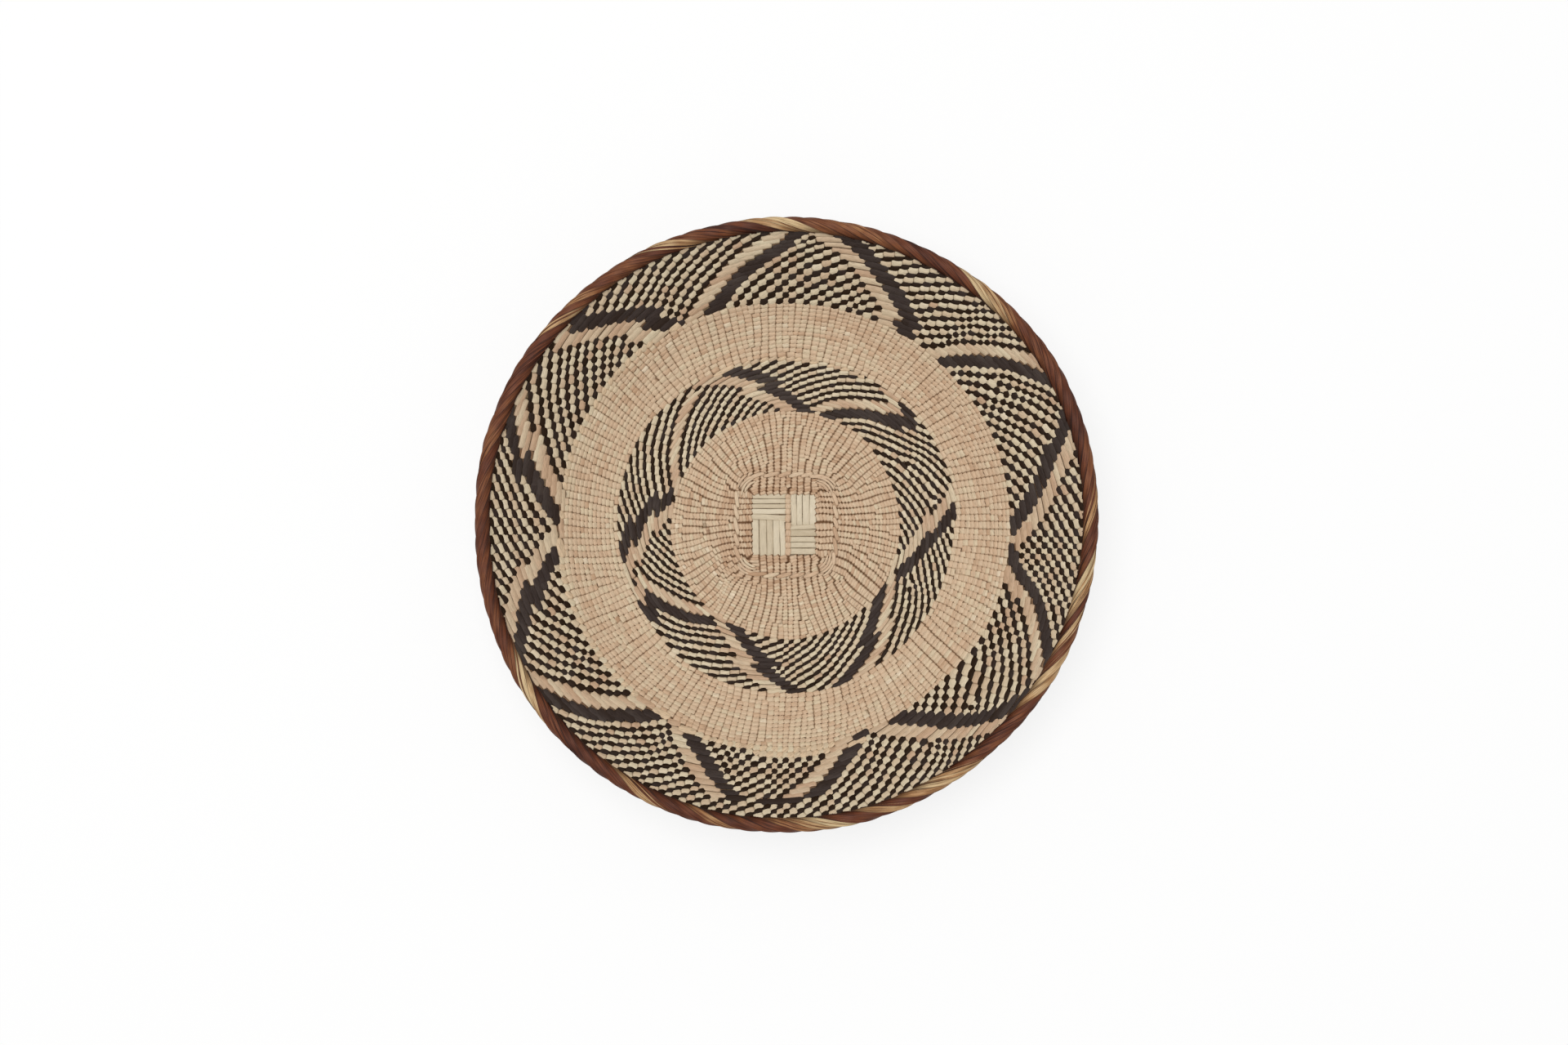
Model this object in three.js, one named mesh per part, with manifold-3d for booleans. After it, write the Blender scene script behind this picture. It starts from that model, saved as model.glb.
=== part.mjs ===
// Ilala palm basket: a shallow round bowl twined on long palm strips that cross in its base.
// Millimetres, +Z up, mouth up. The origin is on the floor under the middle of the base.

import * as THREE from 'three';
import { mergeVertices } from 'three/addons/utils/BufferGeometryUtils.js';
import Module from 'manifold-3d';

const wasm = await Module();
wasm.setup();

// Driving sizes of the bowl
const rimDiameter = 450;
const baseDiameter = 150;
const bendRadius = 150;
const wallSlope = THREE.MathUtils.degToRad(36);
const bendSteps = 3;

// Driving sizes of the strips and strands
const stripThickness = 0.8;
const strandThickness = 1.2;
const lengthwiseStripWidth = 4.6;
const crosswiseStripWidth = 4.05;
const addedStakeWidth = 4;
const addedStakePoint = 1.6;
const clearance = 0.3;
const stripSpace = 0.35;

// The strips that cross in the base, in four blocks that go over and under in turn
const leftStripCount = 5;
const rightStripCount = 4;
const farStripCount = 5;
const nearStripCount = 5;
const crossingSpace = 2.4;
const lockingSpace = 4;
const edgeRamp = 1.6;
const lockingStrandWidth = 3.4;
const lockingStrandThickness = 0.6;

// The added stakes start in the four corners beside the square
const stakesPerCorner = 4;

// The raised row of bolder stitches that locks the added stakes
const lockingRowHalfX = 37.1;
const lockingRowHalfY = 37.5;
const lockingRowCornerRadius = 22;
const lockingRowWidth = 3.2;
const lockingRowThickness = 0.9;
const lockingRowSink = 0.5;

// Where the plain and patterned rings of twining meet, as diameters on the wall
const innerPatternStart = 170;
const innerPatternEnd = 251;
const outerPatternStart = 330;

// The rim: two half-round hoops beside the strips' ends, bound with wrapped strips
const hoopBundleRadius = 3.1;
const bindingThickness = 0.8;
const bindingRidge = 0.4;
const bindingTurns = 95;
// How far along the rim a turn of binding moves on its way round the hoops
const bindingSlant = 98;
const bindingSectionPoints = 8;
const hoopArcSteps = 4;
// Each length of binding starts at one of these degrees: brown and gold by turns, brown first
const bindingStartDegrees = [-5, 86, 97, 110, 119, 207, 215, 270, 277, 287, 307, 345];

// Sizes that follow
const lengthwiseCount = leftStripCount + rightStripCount;
const crosswiseCount = farStripCount + nearStripCount;
const stakeCount = 2 * (lengthwiseCount + crosswiseCount) + 4 * stakesPerCorner;
const stakePitch = (2 * Math.PI) / stakeCount;
// The first crosswise arm stands half a pitch past this edge, and each stake lies mid-facet
const firstFacetEdge = -(crosswiseCount / 2) * stakePitch;
const facetShrink = Math.cos(stakePitch / 2);
const slotHalf = stripThickness / 2 + clearance;
const wallHalf = slotHalf + strandThickness;
const layerLift = (stripThickness + clearance) / 2;
// The added stakes' points lie just outside the round corners of the locking row
const lockingRowCornerReach = lockingRowCornerRadius
  + Math.hypot(lockingRowHalfX - lockingRowCornerRadius, lockingRowHalfY - lockingRowCornerRadius);
const addedStakeStart = lockingRowCornerReach + lockingRowWidth / 2 + clearance;
// The binding's flats clear the hoops, which stand in by a little at the middle of each facet
const hoopFacetDepth = (rimDiameter / 2) * (1 - facetShrink);
const bindingFlat = hoopBundleRadius + hoopFacetDepth + clearance;
const bindingInner = bindingFlat / Math.cos(Math.PI / bindingSectionPoints);
const bindingOuter = bindingInner + bindingThickness;
const bundleReach = bindingOuter + bindingRidge;
const bundleCentreRadius = rimDiameter / 2 - bundleReach;

// Materials
const palette = {
  naturalStrip: new THREE.MeshStandardMaterial({ color: 0xcdc3a3, roughness: 0.6, metalness: 0 }),
  naturalStrand: new THREE.MeshStandardMaterial({ color: 0xcdb28c, roughness: 0.7, metalness: 0 }),
  patternStrand: new THREE.MeshStandardMaterial({ color: 0x3a302b, roughness: 0.7, metalness: 0 }),
  hoop: new THREE.MeshStandardMaterial({ color: 0x8a6a44, roughness: 0.75, metalness: 0 }),
  brownBinding: new THREE.MeshStandardMaterial({ color: 0x6e3f28, roughness: 0.6, metalness: 0 }),
  goldBinding: new THREE.MeshStandardMaterial({ color: 0xc8a564, roughness: 0.55, metalness: 0 })
};

const basket = new THREE.Group();

function addPiece(name, geometry, material) {
  const mesh = new THREE.Mesh(geometry, material);
  mesh.name = name;
  basket.add(mesh);
}

// Booleans
function toSolid(geometry) {
  const bare = geometry.clone();
  bare.deleteAttribute('normal');
  bare.deleteAttribute('uv');
  const merged = mergeVertices(bare, 1e-4);
  const mesh = new wasm.Mesh({
    numProp: 3,
    vertProperties: new Float32Array(merged.attributes.position.array),
    triVerts: new Uint32Array(merged.index.array)
  });
  return new wasm.Manifold(mesh);
}

function toGeometry(solid) {
  const mesh = solid.getMesh();
  const geometry = new THREE.BufferGeometry();
  geometry.setAttribute('position', new THREE.BufferAttribute(mesh.vertProperties, 3));
  geometry.setIndex(new THREE.BufferAttribute(mesh.triVerts, 1));
  geometry.computeVertexNormals();
  return geometry;
}

// The wall's middle line in section, as (radius, height) points from the axis to the strips' ends
function wallMiddle() {
  const points = [new THREE.Vector2(0, wallHalf)];
  const baseRadius = baseDiameter / 2;
  for (let step = 0; step <= bendSteps; step++) {
    const slope = (wallSlope * step) / bendSteps;
    points.push(new THREE.Vector2(
      baseRadius + bendRadius * Math.sin(slope),
      wallHalf + bendRadius * (1 - Math.cos(slope))
    ));
  }
  return points;
}

const bends = wallMiddle();
const bendEnd = bends[bends.length - 1];
const alongWall = new THREE.Vector2(Math.cos(wallSlope), Math.sin(wallSlope));
const offWall = new THREE.Vector2(-Math.sin(wallSlope), Math.cos(wallSlope));

// A point on the straight wall above the bend, at a radius from the axis
function pointOnWall(radius) {
  return bendEnd.clone().addScaledVector(alongWall, (radius - bendEnd.x) / alongWall.x);
}

const bundleCentre = pointOnWall(bundleCentreRadius);
const stripReach = Math.sqrt(hoopBundleRadius ** 2 - (stripThickness / 2) ** 2);
const stripEnd = bundleCentre.clone().addScaledVector(alongWall, stripReach);
const weftEnd = bundleCentre.clone().addScaledVector(alongWall, -(bundleReach + clearance));
bends.push(stripEnd);

// The line through points, moved sideways by a distance, with its corners mitred
function offsetLine(points, distance) {
  const normals = [];
  for (let i = 1; i < points.length; i++) {
    const along = points[i].clone().sub(points[i - 1]).normalize();
    normals.push(new THREE.Vector2(-along.y, along.x));
  }
  return points.map((point, i) => {
    const before = normals[Math.max(i - 1, 0)];
    const after = normals[Math.min(i, normals.length - 1)];
    const mitre = before.clone().add(after).divideScalar(1 + before.dot(after));
    return point.clone().addScaledVector(mitre, distance);
  });
}

// The stretch of the wall's middle line between two radii
function middleBetween(startRadius, endRadius) {
  const cutAt = (radius) => {
    const next = bends.findIndex((point) => point.x >= radius);
    const share = (radius - bends[next - 1].x) / (bends[next].x - bends[next - 1].x);
    return bends[next - 1].clone().lerp(bends[next], share);
  };
  const inside = bends.filter((point) => point.x > startRadius && point.x < endRadius);
  const start = startRadius > 0 ? cutAt(startRadius) : bends[0];
  return [start, ...inside, cutAt(endRadius)];
}

// A closed section turned round the basket's axis, with one facet for each stake
function revolve(section) {
  const area = section.reduce((sum, point, i) => {
    const next = section[(i + 1) % section.length];
    return sum + point.x * next.y - next.x * point.y;
  }, 0);
  const ring = area > 0 ? section : [...section].reverse();
  const closed = ring[0].x === 0 ? ring : [...ring, ring[0]];
  const lathe = new THREE.LatheGeometry(closed, stakeCount, firstFacetEdge + Math.PI / 2);
  lathe.rotateX(Math.PI / 2);
  return lathe;
}

// Twining: a shell of strand on each face of the wall, with the stakes between them
function weftSection(startRadius, endRadius, near, far) {
  const middle = middleBetween(startRadius, endRadius);
  return [...offsetLine(middle, near), ...offsetLine(middle, far).reverse()];
}

const faces = [
  { name: 'inside', near: slotHalf, far: wallHalf },
  { name: 'outside', near: -slotHalf, far: -wallHalf }
];

function addWeft(name, startRadius, endRadius, material) {
  for (const face of faces) {
    const section = weftSection(startRadius, endRadius, face.near, face.far);
    addPiece(`${name}_weft_${face.name}`, revolve(section), material);
  }
}

// The square of crossing strips in the base
const lengthwiseRun = lengthwiseCount * lengthwiseStripWidth + (lengthwiseCount - 2) * stripSpace;
const crosswiseRun = crosswiseCount * crosswiseStripWidth + (crosswiseCount - 2) * stripSpace;
const squareHalfX = (lengthwiseRun + lockingSpace) / 2;
const squareHalfY = (crosswiseRun + crossingSpace) / 2;
const holeHalfX = squareHalfX + edgeRamp;
const holeHalfY = squareHalfY + edgeRamp;

// Middles of two groups of strips laid side by side, with a wider space between the groups
function stripMiddles(firstCount, secondCount, width, groupSpace, start) {
  const middles = [];
  let edge = start;
  for (let i = 0; i < firstCount + secondCount; i++) {
    middles.push(edge + width / 2);
    edge += width + (i === firstCount - 1 ? groupSpace : stripSpace);
  }
  return middles;
}

const lengthwiseMiddles = stripMiddles(
  leftStripCount, rightStripCount, lengthwiseStripWidth, lockingSpace, -squareHalfX
);
const crosswiseMiddles = stripMiddles(
  nearStripCount, farStripCount, crosswiseStripWidth, crossingSpace, -squareHalfY
);
const leftGroupEdge = lengthwiseMiddles[leftStripCount - 1] + lengthwiseStripWidth / 2;
const nearGroupEdge = crosswiseMiddles[nearStripCount - 1] + crosswiseStripWidth / 2;

// A flat strip through stations, each with its top and bottom middle points and its width
function stripGeometry(stations) {
  const steps = stations.length - 1;
  const box = new THREE.BoxGeometry(1, 1, 1, 1, steps, 1);
  const position = box.attributes.position;
  const middles = stations.map((station) => station.top.clone().add(station.bottom).divideScalar(2));
  for (let i = 0; i < position.count; i++) {
    const index = Math.round((position.getY(i) + 0.5) * steps);
    const station = stations[index];
    const before = middles[Math.max(index - 1, 0)];
    const after = middles[Math.min(index + 1, steps)];
    const across = new THREE.Vector3(after.y - before.y, before.x - after.x, 0).normalize();
    const point = position.getZ(i) > 0 ? station.top : station.bottom;
    const corner = point.clone().addScaledVector(across, position.getX(i) * station.width);
    position.setXYZ(i, corner.x, corner.y, corner.z);
  }
  return box;
}

// A station on the flat base, lifted off the wall's middle
function baseStation(x, y, lift, width) {
  const middle = wallHalf + lift;
  return {
    top: new THREE.Vector3(x, y, middle + stripThickness / 2),
    bottom: new THREE.Vector3(x, y, middle - stripThickness / 2),
    width
  };
}

const stripTops = offsetLine(bends, stripThickness / 2);
const stripBottoms = offsetLine(bends, -stripThickness / 2);

// The stations of a stake from the base's edge up to the rim, at one angle
function wallStations(angle, width) {
  const at = (point) => new THREE.Vector3(
    point.x * facetShrink * Math.cos(angle),
    point.x * facetShrink * Math.sin(angle),
    point.y
  );
  const stations = [];
  for (let i = 1; i < bends.length; i++) {
    stations.push({ top: at(stripTops[i]), bottom: at(stripBottoms[i]), width });
  }
  return stations;
}

const fanShares = [0.3, 0.65];

// The stations of an arm that leaves the square side by side with its neighbours and fans out
function armStations(side, edge, lateral, slot, width) {
  const startRadius = Math.hypot(edge, lateral);
  const endRadius = (baseDiameter / 2) * facetShrink;
  const angle = firstFacetEdge + (slot + 0.5) * stakePitch;
  const stations = [];
  const addAt = (radius, share) => {
    const straight = side + Math.asin(lateral / radius);
    const turned = THREE.MathUtils.lerp(straight, angle, THREE.MathUtils.smoothstep(share, 0, 1));
    stations.push(baseStation(radius * Math.cos(turned), radius * Math.sin(turned), 0, width));
  };
  addAt(startRadius, 0);
  for (const share of fanShares) {
    addAt(THREE.MathUtils.lerp(startRadius, endRadius, share), share);
  }
  return [...stations, ...wallStations(angle, width)];
}

// Slots go round the wall from the right side: its arms, a corner's stakes, the far side's arms, and on
const farSlot = crosswiseCount + stakesPerCorner;
const leftSlot = farSlot + lengthwiseCount + stakesPerCorner;
const nearSlot = leftSlot + crosswiseCount + stakesPerCorner;

// Crosswise strips run left to right: the far group goes over the left block and under the right one
crosswiseMiddles.forEach((y, i) => {
  const lift = i < nearStripCount ? -layerLift : layerLift;
  const width = crosswiseStripWidth;
  const left = armStations(Math.PI, holeHalfX, -y, leftSlot + crosswiseCount - 1 - i, width);
  const right = armStations(0, holeHalfX, y, i, width);
  const middle = [
    baseStation(-squareHalfX, y, lift, width),
    baseStation(leftGroupEdge, y, lift, width),
    baseStation(leftGroupEdge + lockingSpace, y, -lift, width),
    baseStation(squareHalfX, y, -lift, width)
  ];
  const stations = [...left.reverse(), ...middle, ...right];
  addPiece(`crosswise_strip_${i + 1}`, stripGeometry(stations), palette.naturalStrip);
});

// Lengthwise strips run near to far: the left group goes over the near block and under the far one
lengthwiseMiddles.forEach((x, i) => {
  const lift = i < leftStripCount ? layerLift : -layerLift;
  const width = lengthwiseStripWidth;
  const near = armStations(-Math.PI / 2, holeHalfY, x, nearSlot + i - stakeCount, width);
  const far = armStations(Math.PI / 2, holeHalfY, -x, farSlot + lengthwiseCount - 1 - i, width);
  const middle = [
    baseStation(x, -squareHalfY, lift, width),
    baseStation(x, nearGroupEdge, lift, width),
    baseStation(x, nearGroupEdge + crossingSpace, -lift, width),
    baseStation(x, squareHalfY, -lift, width)
  ];
  const stations = [...near.reverse(), ...middle, ...far];
  addPiece(`lengthwise_strip_${i + 1}`, stripGeometry(stations), palette.naturalStrip);
});

// Added stakes start with a point between the rows of the base and run up to the rim
const cornerSlots = [crosswiseCount, farSlot + lengthwiseCount, leftSlot + crosswiseCount,
  nearSlot + lengthwiseCount];
cornerSlots.forEach((firstSlot, corner) => {
  for (let i = 0; i < stakesPerCorner; i++) {
    const angle = firstFacetEdge + (firstSlot + i + 0.5) * stakePitch;
    const x = addedStakeStart * Math.cos(angle);
    const y = addedStakeStart * Math.sin(angle);
    const stations = [baseStation(x, y, 0, addedStakePoint), ...wallStations(angle, addedStakeWidth)];
    const number = corner * stakesPerCorner + i + 1;
    addPiece(`added_stake_${number}`, stripGeometry(stations), palette.naturalStrip);
  }
});

// The two strands that lock the crosswise strips between the left and right blocks
const lockingX = leftGroupEdge + lockingSpace / 2;
const lockingLift = layerLift + stripThickness / 2 + clearance + lockingStrandThickness / 2;
for (const [face, direction] of [['inside', 1], ['outside', -1]]) {
  const strand = new THREE.BoxGeometry(
    lockingStrandWidth, 2 * (holeHalfY - clearance), lockingStrandThickness
  );
  strand.translate(lockingX, 0, wallHalf + direction * lockingLift);
  addPiece(`centre_locking_strand_${face}`, strand, palette.naturalStrand);
}

// A rectangle with round corners, centred on the axis
function roundedRectangle(halfX, halfY, radius, Kind) {
  const outline = new Kind();
  outline.moveTo(halfX, radius - halfY);
  outline.lineTo(halfX, halfY - radius);
  outline.absarc(halfX - radius, halfY - radius, radius, 0, Math.PI / 2, false);
  outline.absarc(radius - halfX, halfY - radius, radius, Math.PI / 2, Math.PI, false);
  outline.absarc(radius - halfX, radius - halfY, radius, Math.PI, 1.5 * Math.PI, false);
  outline.absarc(halfX - radius, radius - halfY, radius, 1.5 * Math.PI, 2 * Math.PI, false);
  return outline;
}

// The locking row's ring, grown all round by a margin and raised by a height
function lockingRow(margin, bottom, height) {
  const half = lockingRowWidth / 2 + margin;
  const ring = roundedRectangle(
    lockingRowHalfX + half, lockingRowHalfY + half, lockingRowCornerRadius + half, THREE.Shape
  );
  ring.holes.push(roundedRectangle(
    lockingRowHalfX - half, lockingRowHalfY - half, lockingRowCornerRadius - half, THREE.Path
  ));
  const geometry = new THREE.ExtrudeGeometry(ring, {
    depth: height, bevelEnabled: false, curveSegments: 4
  });
  geometry.translate(0, 0, bottom);
  return geometry;
}

const baseTop = 2 * wallHalf;
const lockingRowBottom = baseTop - lockingRowSink + clearance;
addPiece(
  'locking_row_weft',
  lockingRow(0, lockingRowBottom, lockingRowThickness),
  palette.naturalStrand
);

// The centre field has a square hole over the crossing strips and a groove under the locking row
for (const face of faces) {
  const section = weftSection(0, innerPatternStart / 2 - clearance / 2, face.near, face.far);
  const hole = toSolid(new THREE.BoxGeometry(2 * holeHalfX, 2 * holeHalfY, 4 * baseTop));
  const groove = toSolid(lockingRow(clearance, baseTop - lockingRowSink, baseTop));
  const field = toSolid(revolve(section)).subtract(hole).subtract(groove);
  addPiece(`centre_field_weft_${face.name}`, toGeometry(field), palette.naturalStrand);
}

addWeft(
  'inner_pattern',
  innerPatternStart / 2 + clearance / 2,
  innerPatternEnd / 2 - clearance / 2,
  palette.patternStrand
);
addWeft(
  'middle_field',
  innerPatternEnd / 2 + clearance / 2,
  outerPatternStart / 2 - clearance / 2,
  palette.naturalStrand
);
addWeft('outer_pattern', outerPatternStart / 2 + clearance / 2, weftEnd.x, palette.patternStrand);

// A point of the rim's section: off the wall towards the bowl's inside, and up along the wall
function bundlePoint(off, along) {
  return bundleCentre.clone().addScaledVector(offWall, off).addScaledVector(alongWall, along);
}

// Half-round hoops, with their flat sides to the strips' ends
const hoopFlatAngle = Math.acos(slotHalf / hoopBundleRadius);
for (const [face, direction] of [['inner', 1], ['outer', -1]]) {
  const section = [];
  for (let step = 0; step <= hoopArcSteps; step++) {
    const angle = THREE.MathUtils.lerp(-hoopFlatAngle, hoopFlatAngle, step / hoopArcSteps);
    const off = direction * hoopBundleRadius * Math.cos(angle);
    section.push(bundlePoint(off, hoopBundleRadius * Math.sin(angle)));
  }
  addPiece(`rim_hoop_${face}`, revolve(section), palette.hoop);
}

// A length of binding: a strip wound round the hoops, each turn's edge lapping over the one before.
// Its lips stop short of the stakes, which come in from below.
const turnPitch = (2 * Math.PI) / bindingTurns;
const lapShare = 0.15;
// Two lengths meet with slanted ends, and the trim keeps them apart across the slant
const bindingLean = Math.atan2(2 * Math.PI * bindingOuter, bindingSlant);
const endTrim = (1.2 * clearance) / Math.sin(bindingLean) / bundleCentreRadius;

function bindingLength(startAngle, turns) {
  const positions = [];
  const triangles = [];
  const last = bindingSectionPoints - 1;

  // One ring of points round the section, slanted along the rim, from lip to lip
  const addRing = (radius, turn, trim) => {
    const first = positions.length / 3;
    const lip = Math.asin(slotHalf / radius);
    for (let i = 0; i <= last; i++) {
      const around = THREE.MathUtils.lerp(lip - Math.PI, Math.PI - lip, i / last);
      const slant = (around / (2 * Math.PI)) * (bindingSlant / bundleCentreRadius);
      const angle = startAngle + turn * turnPitch + slant - trim;
      const point = bundlePoint(-radius * Math.sin(around), radius * Math.cos(around));
      positions.push(point.x * Math.cos(angle), point.x * Math.sin(angle), point.y);
    }
    return first;
  };
  const addTriangle = (a, b, c) => triangles.push(a, b, c);
  const joinRings = (from, to) => {
    for (let i = 0; i < last; i++) {
      addTriangle(from + i, from + i + 1, to + i);
      addTriangle(from + i + 1, to + i + 1, to + i);
    }
  };

  let low = addRing(bindingOuter, 0, 0);
  let inner = addRing(bindingInner, 0, 0);
  joinRings(inner, low);
  for (let turn = 1; turn <= turns; turn++) {
    const trim = turn === turns ? endTrim : 0;
    const high = addRing(bindingOuter + bindingRidge, turn - lapShare, 0);
    const nextLow = addRing(bindingOuter, turn, trim);
    const nextInner = addRing(bindingInner, turn, trim);
    joinRings(low, high);
    joinRings(high, nextLow);
    joinRings(nextInner, inner);
    addTriangle(inner, low, high);
    addTriangle(inner, high, nextLow);
    addTriangle(inner, nextLow, nextInner);
    addTriangle(inner + last, high + last, low + last);
    addTriangle(inner + last, nextLow + last, high + last);
    addTriangle(inner + last, nextInner + last, nextLow + last);
    low = nextLow;
    inner = nextInner;
  }
  joinRings(low, inner);

  const geometry = new THREE.BufferGeometry();
  geometry.setAttribute('position', new THREE.Float32BufferAttribute(positions, 3));
  geometry.setIndex(triangles);
  geometry.computeVertexNormals();
  return geometry;
}

const startTurns = bindingStartDegrees.map(
  (degrees) => Math.round(THREE.MathUtils.degToRad(degrees) / turnPitch)
);
startTurns.forEach((startTurn, i) => {
  const endTurn = i + 1 < startTurns.length ? startTurns[i + 1] : startTurns[0] + bindingTurns;
  const wound = bindingLength(startTurn * turnPitch, endTurn - startTurn);
  const brown = i % 2 === 0;
  const name = `rim_binding_${brown ? 'brown' : 'gold'}_${Math.floor(i / 2) + 1}`;
  addPiece(name, wound, brown ? palette.brownBinding : palette.goldBinding);
});

export default basket;
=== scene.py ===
# Ilala palm basket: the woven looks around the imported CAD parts.
# The weave is worked out in millimetres, row by row, and each mesh is made in metres.

import math
from typing import NamedTuple

import bpy
import numpy as np
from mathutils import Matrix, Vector


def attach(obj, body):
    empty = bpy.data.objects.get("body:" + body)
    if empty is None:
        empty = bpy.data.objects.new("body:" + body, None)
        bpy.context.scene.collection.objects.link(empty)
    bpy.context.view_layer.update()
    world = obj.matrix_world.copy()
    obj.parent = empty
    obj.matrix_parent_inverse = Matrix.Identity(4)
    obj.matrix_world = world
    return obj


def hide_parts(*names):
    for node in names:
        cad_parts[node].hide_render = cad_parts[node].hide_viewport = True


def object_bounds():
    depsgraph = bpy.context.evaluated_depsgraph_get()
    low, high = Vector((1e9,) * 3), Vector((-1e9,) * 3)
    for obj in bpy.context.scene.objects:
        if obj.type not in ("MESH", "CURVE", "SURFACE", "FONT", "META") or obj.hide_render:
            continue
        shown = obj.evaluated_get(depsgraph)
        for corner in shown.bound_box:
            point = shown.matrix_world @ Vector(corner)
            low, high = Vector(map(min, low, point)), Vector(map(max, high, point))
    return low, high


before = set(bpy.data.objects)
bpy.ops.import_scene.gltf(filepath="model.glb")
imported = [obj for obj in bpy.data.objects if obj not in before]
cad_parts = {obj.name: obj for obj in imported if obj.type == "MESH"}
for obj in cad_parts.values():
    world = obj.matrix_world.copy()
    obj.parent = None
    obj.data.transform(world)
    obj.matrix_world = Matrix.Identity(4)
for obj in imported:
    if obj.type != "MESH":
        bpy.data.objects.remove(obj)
cad_low, cad_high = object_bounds()

MM = 0.001
TURN = 2 * math.pi
random = np.random.default_rng(11)

# The bowl's section, as in the CAD: a flat base, a round bend and a straight wall
RIM_RADIUS = (cad_high.x - cad_low.x) / 2 / MM
BASE_RADIUS = 75.0
BEND_RADIUS = 150.0
WALL_SLOPE = math.radians(36)
WALL_HALF = 1.9

# The square of bare strips in the middle of the base, a little to the left of the axis
SQUARE_HALF_X = 23.9
SQUARE_HALF_Y = 22.85
SQUARE_SHIFT = -1.6
LEFT_COUNT = 5
NEAR_COUNT = 5
LAYER_LIFT = 0.55
STRIP_HALF_THICKNESS = 0.4

# Each strip where it lies bare, from the left and from the near side: the place of its middle,
# its width, and how far it leans over the length of its block
LENGTHWISE = [
    (-22.7, 5.1, -0.5), (-17.1, 5.4, -0.5), (-12.0, 4.6, -0.4), (-7.1, 5.0, -0.5), (-2.5, 4.1, -1.0),
    (5.7, 4.4, -0.6), (10.0, 4.1, -0.3), (14.9, 5.2, 0.1), (20.1, 5.1, 0.2),
]
CROSSWISE = [
    (-19.7, 4.5, 0.1), (-15.0, 4.1, 0.0), (-10.8, 3.9, 0.2), (-6.0, 4.9, 0.2), (-1.7, 3.4, 1.2),
    (5.6, 4.1, -1.0), (10.0, 3.9, 0.0), (13.9, 3.3, 0.1), (17.6, 3.4, 0.0), (21.5, 3.9, 0.1),
]

# Twining strands: how far they stand off the wall's middle, and half their thickness
STRAND_LIFT = 1.25
STRAND_HALF_THICKNESS = 0.52

# Rows of twining in each ring, and the radius on the wall where each ring ends
CENTRE_ROWS = 24
INNER_ROWS = 14
MIDDLE_ROWS = 13
OUTER_ROWS = 14
CENTRE_END = 85.0
INNER_END = 125.5
MIDDLE_END = 165.0
OUTER_HALF_WAY = 192.5
WEFT_END = 216.5

# The rim: how far its binding reaches from the bundle's middle, its turns, and how far along the rim
# a whole turn would shift
BUNDLE_REACH = 5.29
BINDING_TURNS = 95
BINDING_TURN_SHIFT = 98.0


# Section of the wall

def arc_length_at(radius):
    """How far along the wall's middle line a point with this radius is."""
    bend_end = BASE_RADIUS + BEND_RADIUS * math.sin(WALL_SLOPE)
    if radius <= BASE_RADIUS:
        return radius
    if radius <= bend_end:
        return BASE_RADIUS + BEND_RADIUS * math.asin((radius - BASE_RADIUS) / BEND_RADIUS)
    return BASE_RADIUS + BEND_RADIUS * WALL_SLOPE + (radius - bend_end) / math.cos(WALL_SLOPE)


def wall_section(length):
    """Radius, height and slope of the wall's middle line at lengths along it."""
    bend_end = BASE_RADIUS + BEND_RADIUS * WALL_SLOPE
    slope = np.clip((length - BASE_RADIUS) / BEND_RADIUS, 0, WALL_SLOPE)
    straight = np.maximum(length - bend_end, 0)
    radius = np.minimum(length, BASE_RADIUS)
    radius = radius + BEND_RADIUS * np.sin(slope) + straight * math.cos(WALL_SLOPE)
    height = WALL_HALF + BEND_RADIUS * (1 - np.cos(slope)) + straight * math.sin(WALL_SLOPE)
    return radius, height, slope


ROW_COUNT = CENTRE_ROWS + INNER_ROWS + MIDDLE_ROWS + OUTER_ROWS
INNER_START = CENTRE_ROWS
MIDDLE_START = INNER_START + INNER_ROWS
OUTER_START = MIDDLE_START + MIDDLE_ROWS
RING_ROWS = [INNER_START, MIDDLE_START, OUTER_START, OUTER_START + OUTER_ROWS / 2, ROW_COUNT]
RING_LENGTHS = [arc_length_at(r) for r in (CENTRE_END, INNER_END, MIDDLE_END, OUTER_HALF_WAY, WEFT_END)]
# Past the last row of twining, the wall goes on for this many rows and millimetres
ROWS_PAST_END = 10
LENGTH_PAST_END = 40
SQUARE_CORNER = 16.0
# Waves in the rows: their number round the basket and their height in rows, how far they drift from
# row to row, and the rows over which they come in and go out
ROW_WAVES = [(3, 0.22), (5, 0.16), (8, 0.12), (13, 0.08)]
WAVE_DRIFT = 0.05
WAVE_IN_ROWS = 6
WAVE_OUT_ROWS = 4
wave_phases = random.uniform(0, TURN, len(ROW_WAVES))


def square_radius(angle, half_x=SQUARE_HALF_X, half_y=SQUARE_HALF_Y, corner=SQUARE_CORNER):
    """Distance from the axis to a rounded square, by default the square of bare strips."""
    x = np.abs(np.cos(angle)) / half_x
    y = np.abs(np.sin(angle)) / half_y
    return (x ** corner + y ** corner) ** (-1 / corner)


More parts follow.
